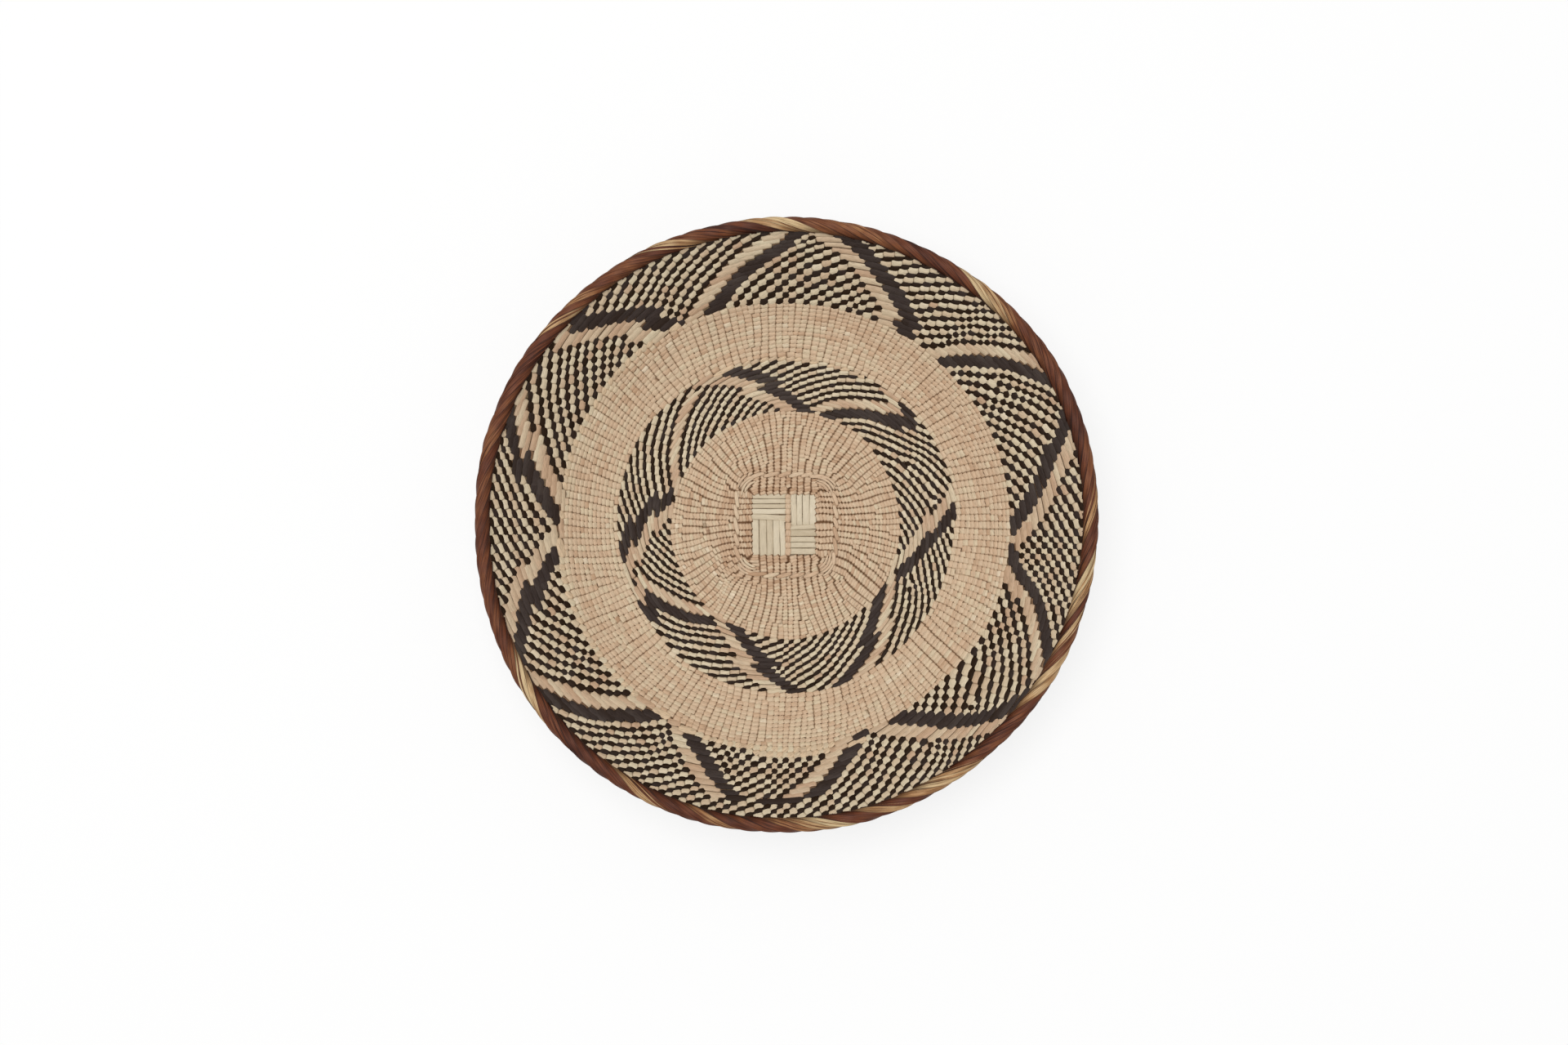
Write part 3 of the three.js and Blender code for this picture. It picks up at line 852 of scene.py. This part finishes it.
PLAIN_STITCH = Stitch(width=(1.05, 1.05), swing=(0.24, 0.24), crossing=(1.2, 1.2), steepness=4.0,
                      boxy=0.38, line=0.97, variety=0.1, groove_shade=0.62)
DARK_STITCH = Stitch(width=(1.06, 1.22), swing=(0.44, 0.3), crossing=(0.5, 0.42), steepness=3.6,
                     boxy=0.6, line=0.2, variety=0.06, groove_shade=0.0, tone_spread=0.05, height=1.15)
LIGHT_STITCH = Stitch(width=(1.14, 1.2), swing=(0.44, 0.32), crossing=(1.12, 0.95), steepness=4.0,
                      boxy=0.38, line=0.85, variety=0.16, groove_shade=0.2)
# The plain rows round the square swing further, and have wider painted shade between stakes
STEEP_ROWS = [0, 8, 20, 36]
STEEP_SWINGS = [1.7, 1.5, 0.9, 0.6]
STEEP_GROOVE_SHADES = [0.24, 0.22, 0.18, 0.06]
# Dark spots in the natural fields, darkened through the painted-shade level, the first two as painted
# shade
# in gaps between stitches: where each is on the basket, and its radius
SPOTS = [
    (-8.5, -41.6, 1.3), (12.7, -40.4, 1.4), (48.6, -6.0, 1.6), (-61.0, 0.5, 2.4), (-58.0, -4.5, 1.8),
    (-64.5, -3.0, 1.5), (28.0, 24.5, 1.2), (27.0, 27.5, 1.0), (-29.0, 21.0, 1.0), (44.0, 71.0, 1.3),
    (-20.0, 122.0, 1.6), (105.0, -93.0, 1.4), (-96.0, 108.0, 1.8), (112.0, 93.0, 1.3),
    (-148.0, -38.0, 1.6), (60.0, -138.0, 1.5), (-60.0, -128.0, 1.3), (141.0, 46.0, 1.2),
]
# Places along a stake at which a strand has a section, closer where it goes down
PLAIN_PLACES = np.array([0.0, 0.05, 0.12, 0.26, 0.5, 0.74, 0.88, 0.95])
CHECK_PLACES = np.array([0.0, 0.04, 0.1, 0.18, 0.3, 0.5, 0.7, 0.82, 0.9, 0.96])
STITCH_SIDES = 8
# In dyed palm, the tone of a natural strand, and the lightest tone of a dyed one
NATURAL_TONE = 1.6
LIGHTEST_DYED_TONE = 0.85
# A long float is lighter by this tone in a dark strand, a painted sheen on its flat face, and darker by
# it in a light one
FLOAT_SHEEN_AND_TONE = 0.3
# The rows next to the square are darker by this tone, which fades out between these rows
NEAR_SQUARE_TONE = 0.2
NEAR_SQUARE_ROWS = [2, 9]
SPOT_DEPTH = 0.85
# How much single stitches differ in height, in place across their row and in width
HEIGHT_JITTER = 0.05
PLACE_JITTER = 0.04
WIDTH_JITTER = 0.06


def add_row(weave, row, fronts, stitch):
    """One strand round a row. It passes inside a stake where fronts is 1, and outside where it's 0."""
    angles = row_angles(row)
    count = len(angles)
    places = PLAIN_PLACES if stitch is PLAIN_STITCH else CHECK_PLACES
    stake = np.repeat(np.arange(count), len(places))
    step = stake + np.tile(places, count)
    index = np.arange(-1, count + 1)
    wrapped = np.concatenate([[angles[-1] - TURN], angles, [angles[0] + TURN]])
    angle = np.interp(step - 0.5, index, wrapped)
    middle, normal = wall_point(angle, np.full(len(angle), row + 0.5))
    inner, _ = wall_point(angle, np.full(len(angle), float(row)))
    outer, _ = wall_point(angle, np.full(len(angle), row + 1.0))
    along = unit(np.roll(middle, -1, 0) - np.roll(middle, 1, 0))
    across = unit(np.cross(along, normal))
    pitch = np.sum((outer - inner) * across, -1)

    offset, length, number = runs_of(fronts)
    side = np.where(fronts[stake] == 1, 1.0, -1.0)
    into = offset[stake] + step - stake
    whole = length[stake]
    edge = np.minimum(np.minimum(into, whole - into), 0.5)
    rise = np.sin(math.pi / 2 * (1 - (1 - 2 * edge) ** stitch.steepness))
    swing = np.interp(whole, [1, 2], stitch.swing) * (1 - 2 * into / whole)
    if stitch is PLAIN_STITCH:
        swing = swing * np.interp(row, STEEP_ROWS, STEEP_SWINGS)

    jitter = random.normal(0, 1, (4, number.max() + 1))[:, number[stake]]
    bow = np.sin(math.pi * edge)
    lift = STRAND_LIFT * stitch.height * (1 + HEIGHT_JITTER * jitter[0])
    centres = (
        middle
        + across * (pitch * (side * swing + PLACE_JITTER * jitter[1] * bow))[:, None]
        + normal * (side * lift * rise)[:, None]
    )
    share = np.interp(whole, [1, 2], stitch.width)
    crossing = np.interp(whole, [1, 2], stitch.crossing)
    half_width = pitch / 2 * share * (crossing + (1 - crossing + WIDTH_JITTER * jitter[2]) * bow)
    tone = strand_tones(count, stitch.tone_spread)[stake] + stitch.variety * jitter[3]
    tone = tone - NEAR_SQUARE_TONE * np.interp(row, NEAR_SQUARE_ROWS, [1, 0])
    floated = np.interp(whole, [1, 2], [0, 1]) * (side > 0)
    if stitch is DARK_STITCH:
        # Painted sheen: a long dark float is lighter and greyer
        tone = np.minimum(tone + FLOAT_SHEEN_AND_TONE * floated, LIGHTEST_DYED_TONE)
        tone = np.where(dyed_where(row, angle) > 0, tone, NATURAL_TONE)
    elif stitch is LIGHT_STITCH:
        tone = tone - FLOAT_SHEEN_AND_TONE * floated
    # Painted shade: darker where the strand dives between stakes, and along its edges
    groove_shade = stitch.groove_shade + (np.interp(row, STEEP_ROWS, STEEP_GROOVE_SHADES) if stitch is PLAIN_STITCH else 0)
    bare = np.clip((rise - groove_shade) / (1 - groove_shade), 0, 1)
    # Darker round each dark spot, through the same painted-shade level
    for x, y, radius in SPOTS:
        away = np.hypot(centres[:, 0] - x, centres[:, 1] - y) / radius
        bare = bare * (1 - SPOT_DEPTH * np.exp(-away ** 2))
    weave.add(centres, normal, half_width, STRAND_HALF_THICKNESS, tone,
              bare[:, None] * painted_edge_shade(STITCH_SIDES, stitch.line), closed=True,
              sides=STITCH_SIDES, boxy=stitch.boxy)


def weave_ring(name, first_row, end_row, pieces, strands, stitch, material, slot, nodes):
    """A ring of rows, as pieces of a few neighbouring rows each. strands are the colours, or the two
    turns of a plain pair, that they hold. The first piece stands for the CAD nodes."""
    groups = np.array_split(np.arange(first_row, end_row), pieces)
    for number, group in enumerate(groups):
        weave = Weave()
        for row in group.tolist():
            shown = patterns[row] if row in patterns else checks(row)
            for strand in strands:
                add_row(weave, row, (shown == strand).astype(int), stitch)
        weave.build(f"{name}_{number + 1}", material, slot, nodes if number == 0 else [])


# The rings from the middle out: first row, end row, and into how many pieces each kind of strand goes
RINGS = [
    ("centre_field", 0, INNER_START, 4),
    ("inner_pattern", INNER_START, MIDDLE_START, 2),
    ("middle_field", MIDDLE_START, OUTER_START, 4),
    ("outer_pattern", OUTER_START, ROW_COUNT, 3),
]
for ring, *rows_and_pieces in RINGS:
    weft = f"{ring}_weft"
    nodes = [f"{weft}_inside", f"{weft}_outside"]
    if rows_and_pieces[0] in patterns:
        weave_ring(f"{weft}_dark", *rows_and_pieces, (DARK,), DARK_STITCH, dyed_palm, "pattern_weft",
                   nodes)
        weave_ring(f"{weft}_light", *rows_and_pieces, (LIGHT,), LIGHT_STITCH, pale_palm,
                   "natural_weft", [])
    else:
        weave_ring(weft, *rows_and_pieces, (DARK, LIGHT), PLAIN_STITCH, natural_palm, "natural_weft",
                   nodes)


# Strips and stakes
STAKE_HALF_THICKNESS = 0.55
STAKE_WIDTH_SHARE = 1.06
# Stakes lie under the strands: painted shade keeps their colour at this level
STAKE_PAINTED_LIGHT = 0.1
STAKE_TONE = (0.4, 0.1)
STAKE_POINT_SHARE = 0.45
STRIP_SIDES = 12
STRIP_BOXY = 0.35
STRIP_EDGE_SHADE = 0.75
# Where a strip runs under the other layer over the square, painted shadow keeps its colour at this level
STRIP_UNDER_PAINTED_LIGHT = 0.05
# A strip over the square: its stations in each layer, how far it stops short of the square's edge,
# the run in which it changes layers, how far its lean goes on, and how it waves
STRIP_STATIONS = 9
STRIP_TUCK = 0.8
CROSSING_RUN = 1.5
LEAN_LIMIT = 0.6
STRIP_WAVE = 0.08
STRIP_WAVE_PACE = 0.25


def stake_path(stake):
    """Middle points, normals and half widths of a stake from its first row into the rim."""
    rows = np.arange(stake.first_row, stake.first_row + len(stake.angles))
    angles = np.array(stake.angles)
    points, normals = wall_point(angles, rows + 0.5)
    widths = []
    for row, angle in zip(rows, angles):
        around = row_angles(row)
        place = nearest(around, angle)
        gap = (around[(place + 1) % len(around)] - around[place - 1]) % TURN / 2
        widths.append(gap)
    widths = np.array(widths) * np.hypot(points[:, 0], points[:, 1]) / 2 * STAKE_WIDTH_SHARE
    return points, normals, widths


def build_added_stakes():
    """The stakes put in at the corners, one piece each, and all later ones in one piece."""
    later = Weave()
    number = 0
    for stake in sorted(stakes, key=lambda s: s.slot if s.slot is not None else -1):
        if stake.is_arm:
            continue
        points, normals, widths = stake_path(stake)
        widths[0] *= STAKE_POINT_SHARE
        weave = later if stake.slot is None else Weave()
        # The stake is darkened all along by painted shade
        weave.add(points, normals, widths, STAKE_HALF_THICKNESS, random.normal(*STAKE_TONE), STAKE_PAINTED_LIGHT,
                  closed=False)
        if stake.slot is not None:
            number += 1
            weave.build(f"added_stake_{number}", natural_palm, "palm_strip", [f"added_stake_{number}"])
    later.build("later_added_stakes", natural_palm, "palm_strip", [])


build_added_stakes()
arm_by_slot = {s.slot: s for s in stakes if s.is_arm}


def build_strip(name, before, middle, top, after, half_width, lower_half, tone):
    """A whole strip: up one side of the wall, through the square, and up the other side."""
    square_width = np.where(top, half_width, lower_half)
    parts = []
    for stake in (before, after):
        points, normals, widths = stake_path(stake)
        widths[:2] = half_width
        # The arms get the stakes' painted shade
        parts.append([points, normals, widths, np.full(len(points), STAKE_PAINTED_LIGHT)])
    parts[0] = [part[::-1] for part in parts[0]]
    up = np.tile([0.0, 0.0, 1.0], (len(middle), 1))
    # Over the square, the strip's lower run gets painted shadow
    parts.insert(1, [middle, up, square_width, np.where(top, 1.0, STRIP_UNDER_PAINTED_LIGHT)])
    centres, outward, widths, shown = (np.concatenate(part) for part in zip(*parts))
    weave = Weave()
    # Painted shade lines along the strip's edges darken it further
    weave.add(centres, outward, widths, STRIP_HALF_THICKNESS, tone,
              shown[:, None] * painted_edge_shade(STRIP_SIDES, STRIP_EDGE_SHADE), closed=False,
              sides=STRIP_SIDES, boxy=STRIP_BOXY)
    weave.build(name, strip_palm, "palm_strip", [name])


def lower_run(strips, group, i):
    """Middle and half width of a strip where it runs underneath. It reaches half way to its
    neighbours, and all the way to the other group's first strip."""
    place, width, _lean = strips[i]
    low = high = width / 2
    if i > 0:
        low = (place - strips[i - 1][0]) / 2 if i != group else place - strips[i - 1][0] - low
    if i + 1 < len(strips):
        high = (strips[i + 1][0] - place) / 2 if i + 1 != group else strips[i + 1][0] - place - high
    return place + (high - low) / 2, (high + low) / 2


def across_square(half, shift, lift, crossing, place, lower_place, lean, along_x):
    """Middle points of a strip over the square, from one layer to the other at its crossing."""
    reach = np.concatenate([
        np.linspace(shift - half + STRIP_TUCK, crossing - CROSSING_RUN / 2, STRIP_STATIONS),
        np.linspace(crossing + CROSSING_RUN / 2, shift + half - STRIP_TUCK, STRIP_STATIONS),
    ])
    layer = np.concatenate([np.full(STRIP_STATIONS, lift), np.full(STRIP_STATIONS, -lift)])
    bare = (reach < crossing) == (lift > 0)
    middle = np.mean(reach[bare])
    side = place + lean * np.clip((reach - middle) / half, -LEAN_LIMIT, LEAN_LIMIT)
    side = side + STRIP_WAVE * np.sin(STRIP_WAVE_PACE * reach + random.uniform(0, TURN))
    side = np.where(layer > 0, side, lower_place)
    height = WALL_HALF + layer
    first, second = (reach, side) if along_x else (side, reach)
    return np.stack([first, second, height], -1), layer > 0


def group_gap(strips, group):
    """The two edges of the gap between the strips of the first group and the others."""
    (low, low_width, _), (high, high_width, _) = strips[group - 1:group + 1]
    return low + low_width / 2, high - high_width / 2


def build_strips(kind, strips, group, lift, crossings, half, shift, start_arms, end_arms, tone):
    """All strips of one kind. The first group lies at this lift over the square before its crossing,
    and the others lie the other way up."""
    for i, (place, width, lean) in enumerate(strips):
        way, crossing = (1, crossings[0]) if i < group else (-1, crossings[1])
        lower_place, lower_half = lower_run(strips, group, i)
        middle, top = across_square(half, shift, way * lift, crossing, place, lower_place, lean,
                                    kind == "crosswise")
        build_strip(f"{kind}_strip_{i + 1}", arm_by_slot[start_arms[i]], middle, top,
                    arm_by_slot[end_arms[i]], width / 2, lower_half, random.normal(*tone))


left_edge, right_edge = group_gap(LENGTHWISE, LEFT_COUNT)
near_edge, far_edge = group_gap(CROSSWISE, NEAR_COUNT)
column_x = (left_edge + right_edge) / 2
build_strips("crosswise", CROSSWISE, NEAR_COUNT, -LAYER_LIFT, (column_x, column_x), SQUARE_HALF_X,
             SQUARE_SHIFT, left_side.arms[::-1], right_side.arms, (0.5, 0.2))
build_strips("lengthwise", LENGTHWISE, LEFT_COUNT, LAYER_LIFT, (far_edge, near_edge), SQUARE_HALF_Y,
             0, near_side.arms, far_side.arms[::-1], (0.6, 0.2))


def swell(least, bow):
    """From this least share where a stitch goes under, to 1 where it stands highest."""
    return least + (1 - least) * bow


# Centre locking strands: a stitch over each crosswise strip, between the left and right groups
COLUMN_STATIONS = 9
COLUMN_SIDE_LAP = 0.1
COLUMN_END_LAP = 0.15
COLUMN_LEAN = 0.12
COLUMN_LIFT = 0.5
COLUMN_BOW = 0.8
COLUMN_HALF_THICKNESS = 0.35
# How flat the bow is over its stitch, the width at its ends and how much painted shade leaves there, its
# tone, and how round it is
COLUMN_FLATNESS = 0.6
COLUMN_END_WIDTH = 0.8
COLUMN_END_PAINTED_LIGHT = 0.1
COLUMN_TONE = (0.35, 0.15)
COLUMN_BOXY = 0.5


def build_locking_column(face, side):
    weave = Weave()
    half_width = (right_edge - left_edge) / 2 + COLUMN_SIDE_LAP
    edges = [-SQUARE_HALF_Y] + [(a + b) / 2 for a, b in zip(crosswise, crosswise[1:])] + [SQUARE_HALF_Y]
    for low_edge, high_edge in zip(edges, edges[1:]):
        half = (high_edge - low_edge) / 2 + COLUMN_END_LAP
        reach = np.linspace(-half, half, COLUMN_STATIONS)
        bow = np.cos(reach / half * math.pi / 2) ** COLUMN_FLATNESS
        y = (low_edge + high_edge) / 2
        height = WALL_HALF + side * (COLUMN_LIFT + COLUMN_BOW * bow)
        centres = np.stack([column_x + COLUMN_LEAN * reach, y + reach, height], -1)
        # The stitch's ends, where it goes down, are darkened with painted shade
        weave.add(centres, (0, 0, side), half_width * swell(COLUMN_END_WIDTH, bow),
                  COLUMN_HALF_THICKNESS, random.normal(*COLUMN_TONE), swell(COLUMN_END_PAINTED_LIGHT, bow),
                  closed=False, boxy=COLUMN_BOXY)
    name = f"centre_locking_strand_{face}"
    weave.build(name, natural_palm, "natural_weft", [name])


build_locking_column("inside", 1)
build_locking_column("outside", -1)


# The raised row of bolder stitches in a rounded square
LOCKING_ROW_HALF_X = 37.0
LOCKING_ROW_HALF_Y = 37.5
LOCKING_ROW_CORNER = 4.6
LOCKING_ROW_SWING = 1.3
LOCKING_ROW_LIFT = 2.3
LOCKING_ROW_TUCK = 1.3
LOCKING_ROW_HALF_WIDTH = 1.5
LOCKING_ROW_HALF_THICKNESS = 0.5
# The row of twining whose stakes it goes over, how often a stitch goes over two of them, how far it
# reaches past them as a share of its length, and how near a corner's middle it stops
LOCKING_ROW_PLACE = 5
PAIR_CHANCE = 0.8
BOLD_LAP = 0.12
CORNER_FREE_ANGLE = math.radians(9)
BOLD_STATIONS = 13
BOLD_FLATNESS = 0.5
BOLD_END_WIDTH = 0.4
BOLD_TONE = (0.45, 0.15)
BOLD_EDGE_SHADE = 0.95
BOLD_BOXY = 0.4
# Long strands lie side by side round each corner: how far in each is, and how far it reaches
CORNER_STRANDS = [(-4.8, 9.0), (-2.6, 12.0), (-0.4, 11.0), (1.8, 8.0)]
CORNER_STRAND_HALF_WIDTH = 0.9
# By how many degrees they are out of place, and how far each slants over its length
CORNER_SLIP = 2
CORNER_SLANTS = (0.4, 1.2)


def add_bold_stitch(weave, angle, aside, half_width):
    """A raised stitch along the locking row, with aside as its distance from the row's middle."""
    share = np.linspace(0, 1, BOLD_STATIONS)
    bow = np.sin(math.pi * share) ** BOLD_FLATNESS
    outline = square_radius(angle, LOCKING_ROW_HALF_X, LOCKING_ROW_HALF_Y, LOCKING_ROW_CORNER)
    radius = outline + aside
    height = WALL_HALF + LOCKING_ROW_TUCK + (LOCKING_ROW_LIFT - LOCKING_ROW_TUCK) * bow
    centres = np.stack([radius * np.cos(angle), radius * np.sin(angle), height], -1)
    # The stitch is darkened with painted shade towards its ends, where it goes down, and along its edges
    weave.add(centres, (0, 0, 1), half_width * swell(BOLD_END_WIDTH, bow), LOCKING_ROW_HALF_THICKNESS,
              random.normal(*BOLD_TONE), bow[:, None] * painted_edge_shade(STRIP_SIDES, BOLD_EDGE_SHADE),
              closed=False, sides=STRIP_SIDES, boxy=BOLD_BOXY)


def build_locking_row():
    angles = row_angles(LOCKING_ROW_PLACE)
    weave = Weave()
    start = 0
    while start < len(angles):
        span = 2 if random.random() < PAIR_CHANCE else 1
        ends = [angles[i % len(angles)] + TURN * (i // len(angles)) for i in (start, start + span)]
        from_corner = abs((ends[0] + ends[1]) / 2 % (TURN / 4) - TURN / 8)
        if from_corner > CORNER_FREE_ANGLE:
            share = np.linspace(-BOLD_LAP, 1 + BOLD_LAP, BOLD_STATIONS)
            angle = ends[0] + (ends[1] - ends[0]) * share
            add_bold_stitch(weave, angle, LOCKING_ROW_SWING * (1 - 2 * share), LOCKING_ROW_HALF_WIDTH)
        start += span
    along = np.linspace(-1, 1, BOLD_STATIONS)
    for corner in range(4):
        for aside, reach in CORNER_STRANDS:
            middle = TURN * (corner + 0.5) / 4 + math.radians(random.normal(0, CORNER_SLIP))
            slant = -random.uniform(*CORNER_SLANTS) * along
            add_bold_stitch(weave, middle + math.radians(reach) * along, aside + slant,
                            CORNER_STRAND_HALF_WIDTH)
    weave.build("locking_row_weft", natural_palm, "natural_weft", ["locking_row_weft"])


build_locking_row()


# Rim
bundle_length = arc_length_at(RIM_RADIUS - BUNDLE_REACH)
bundle_radius, bundle_height, bundle_slope = (float(v) for v in wall_section(np.array(bundle_length)))
# The degrees at which the lengths of binding start, brown and gold by turns, as in the CAD
BINDING_START_DEGREES = [-5, 86, 97, 110, 119, 207, 215, 270, 277, 287, 307, 345]
# Where the rim looks golden, from and to degrees
GOLD_DEGREES = [(0, 3), (41, 43), (46, 52), (74, 77), (86, 96), (101, 102), (110, 112), (115, 117),
                (130, 132), (137, 140), (163, 166), (207, 215), (226, 228), (237, 242), (253, 255),
                (270, 279), (287, 289), (294, 305), (325, 327), (330, 334), (336, 339), (345, 352)]
# From above, a wrap is seen this far back from its middle, because it slants
SEEN_BACK_DEGREES = 4.6
LONG_STRETCH = 4
BROWN_TONE = 0.3
GOLD_TONE = 0.7
PALE_GOLD_TONE = 0.88
RIM_TONE_SPREAD = 0.11
BINDING_HALF_WIDTH = 3.3
BINDING_STEPS = 44
# Half the gap between a wrap's two lips, under the rim, and how far they are from its middle
BINDING_LIP = 0.75
LIP_REACH = 4.0
WRAP_SINK = 0.75
WRAP_LEAN = 0.1
WRAP_HALF_THICKNESS = 0.45
WRAP_SIDES = 16
WRAP_SHIFT = 0.08
WRAP_WIDTHS = (0.85, 1.1)
WRAP_LIFTS = (-0.1, 0.15)
WRAP_EDGE_SHADE = 0.9
WRAP_BOXY = 0.5
# How much of a wrap's colour painted shade leaves is a wave round the rim's section: its middle, height,
# reach and least value
WRAP_PAINTED_LIGHT = 0.35
WRAP_PAINTED_LIGHT_WAVE = 0.75
WRAP_PAINTED_LIGHT_REACH = 1.25
WRAP_LEAST_PAINTED_LIGHT = 0.1
HOOP_STATIONS = 240
HOOP_OFFSET = 1.9
HOOP_HALF_WIDTH = 2.7
HOOP_HALF_THICKNESS = 1.2
HOOP_TONE = 0.5
# The hoops lie under the binding: painted shade keeps their colour at this level
HOOP_PAINTED_LIGHT = 0.6


def bundle_point(angle, off, along):
    """A point of the rim's section: off the wall towards the bowl, and along the wall."""
    radius = bundle_radius - off * math.sin(bundle_slope) + along * math.cos(bundle_slope)
    height = bundle_height + off * math.cos(bundle_slope) + along * math.sin(bundle_slope)
    return np.stack([radius * np.cos(angle), radius * np.sin(angle), height], -1)


def add_wrap(weave, middle_angle, tone, half_width, lift):
    """A strip that slants over the rim, from under its inner edge to under its outer edge."""
    lip = math.asin(BINDING_LIP / LIP_REACH)
    around = np.linspace(lip - math.pi, math.pi - lip, BINDING_STEPS)
    angle = middle_angle + around / TURN * BINDING_TURN_SHIFT / bundle_radius
    reach = BUNDLE_REACH - WRAP_SINK + lift
    off, along = -np.sin(around), np.cos(around)
    centres = bundle_point(angle, off * reach, along * reach)
    outward = unit(centres - bundle_point(angle, 0 * off, 0 * along))
    # The strip leans on its neighbour, so one edge stands higher
    ahead = unit(np.gradient(centres, axis=0))
    across = np.cross(ahead, outward)
    outward = unit(outward - WRAP_LEAN * across)
    # Painted shade makes it darker towards its two ends, under the rim, and along its edges
    wave = WRAP_PAINTED_LIGHT + WRAP_PAINTED_LIGHT_WAVE * np.cos(around / WRAP_PAINTED_LIGHT_REACH)
    shown = np.clip(wave, WRAP_LEAST_PAINTED_LIGHT, 1)
    weave.add(centres, outward, half_width, WRAP_HALF_THICKNESS, tone,
              shown[:, None] * painted_edge_shade(WRAP_SIDES, WRAP_EDGE_SHADE), closed=False,
              sides=WRAP_SIDES, boxy=WRAP_BOXY)


def rim_tone(degrees):
    """Brown, or golden where a golden strip is spliced in, and palest along the long golden stretches."""
    for low, high in GOLD_DEGREES:
        if low <= degrees <= high:
            return PALE_GOLD_TONE if high - low >= LONG_STRETCH else GOLD_TONE
    return BROWN_TONE


def build_rim():
    turn = TURN / BINDING_TURNS
    starts = [round(math.radians(d) / turn) for d in BINDING_START_DEGREES]
    for i, start in enumerate(starts):
        end = starts[i + 1] if i + 1 < len(starts) else starts[0] + BINDING_TURNS
        weave = Weave()
        for k in range(start, end):
            angle = (k + 0.5) * turn + random.normal(0, WRAP_SHIFT) * turn
            seen_at = (math.degrees(angle) - SEEN_BACK_DEGREES) % 360
            tone = random.normal(rim_tone(seen_at), RIM_TONE_SPREAD)
            half_width = BINDING_HALF_WIDTH * random.uniform(*WRAP_WIDTHS)
            add_wrap(weave, angle, tone, half_width, random.uniform(*WRAP_LIFTS))
        kind = "brown" if i % 2 == 0 else "gold"
        name = f"rim_binding_{kind}_{i // 2 + 1}"
        weave.build(name, brown_palm, f"rim_{kind}", [name])
    angle = np.linspace(0, TURN, HOOP_STATIONS, endpoint=False)
    level = np.zeros(HOOP_STATIONS)
    for face, side in (("inner", 1), ("outer", -1)):
        centres = bundle_point(angle, level + side * HOOP_OFFSET, level)
        outward = unit(centres - bundle_point(angle, level, level))
        weave = Weave()
        weave.add(centres, outward, HOOP_HALF_WIDTH, HOOP_HALF_THICKNESS, HOOP_TONE, HOOP_PAINTED_LIGHT,
                  closed=True)
        name = f"rim_hoop_{face}"
        weave.build(name, hoop_palm, "rim_hoop", [name])


build_rim()


# Floor, light and camera
PHOTO_WIDTH = 1920
PHOTO_HEIGHT = 1279
PHOTO_CENTRE_X = 962.5
PHOTO_CENTRE_Y = 642.5
PHOTO_PX_MM = 0.592
CAMERA_ABOVE_RIM = 2500.0
SENSOR_MM = 36.0
ROOM_LIGHT = 0.55
FLOOR_HALF = 6.0
FLOOR_GLOW = 0.8
FLOOR_COLOUR = colour(250, 250, 249)
LAMP_SIZE = 1.8
LAMP_ENERGY = 60
LAMP_PLACE = (-0.45, 0.5, 3.3)


def seen_directly(tree):
    """1 where the camera sees a thing straight on, or in a glossy or clear surface."""
    path = add_node(tree, "ShaderNodeLightPath")
    seen = math_node(tree, "MAXIMUM", path.outputs["Is Camera Ray"], path.outputs["Is Glossy Ray"])
    return math_node(tree, "MAXIMUM", seen, path.outputs["Is Transmission Ray"])


def make_stage():
    """A pale floor that shows white to the camera and keeps the basket's shadow."""
    mesh = bpy.data.meshes.new("floor")
    corners = [(-1, -1), (1, -1), (1, 1), (-1, 1)]
    mesh.from_pydata([(x * FLOOR_HALF, y * FLOOR_HALF, 0) for x, y in corners], [], [(0, 1, 2, 3)])
    floor = place_object("floor", mesh)
    material = bpy.data.materials.new("floor")
    material.use_nodes = True
    tree = material.node_tree
    tree.nodes.clear()
    share = math_node(tree, "MULTIPLY", seen_directly(tree), FLOOR_GLOW)
    diffuse = add_node(tree, "ShaderNodeBsdfDiffuse", {"Color": FLOOR_COLOUR})
    glow = add_node(tree, "ShaderNodeEmission", {"Strength": 1.0})
    mix = add_node(tree, "ShaderNodeMixShader", {0: share, 1: diffuse.outputs[0], 2: glow.outputs[0]})
    add_node(tree, "ShaderNodeOutputMaterial", {"Surface": mix.outputs[0]})
    mesh.materials.append(material)


def make_light():
    """A soft lamp overhead, in a room that the camera sees as white and that lights more dimly."""
    world = bpy.data.worlds.new("soft_room")
    bpy.context.scene.world = world
    world.use_nodes = True
    tree = world.node_tree
    strength = math_node(tree, "MULTIPLY_ADD", seen_directly(tree), 1 - ROOM_LIGHT, ROOM_LIGHT)
    set_inputs(tree, tree.nodes["Background"], {"Color": WHITE, "Strength": strength})
    light = bpy.data.lights.new("softbox", "AREA")
    light.shape = "DISK"
    light.size = LAMP_SIZE
    light.energy = LAMP_ENERGY
    lamp = place_object("softbox", light)
    lamp.location = LAMP_PLACE
    aim = Vector((0, 0, 0)) - lamp.location
    lamp.rotation_euler = aim.to_track_quat("-Z", "Y").to_euler()


def make_camera():
    """Straight down, with the basket where the photograph has it."""
    data = bpy.data.cameras.new("camera")
    frame_width = PHOTO_WIDTH * PHOTO_PX_MM
    data.sensor_width = SENSOR_MM
    data.lens = SENSOR_MM * CAMERA_ABOVE_RIM / frame_width
    camera = place_object("camera", data)
    x = (PHOTO_WIDTH / 2 - PHOTO_CENTRE_X) * PHOTO_PX_MM
    y = (PHOTO_CENTRE_Y - PHOTO_HEIGHT / 2) * PHOTO_PX_MM
    camera.location = Vector((x, y, bundle_height + CAMERA_ABOVE_RIM)) * MM
    bpy.context.scene.camera = camera


make_stage()
make_light()
make_camera()
bpy.context.scene.view_settings.view_transform = "Standard"
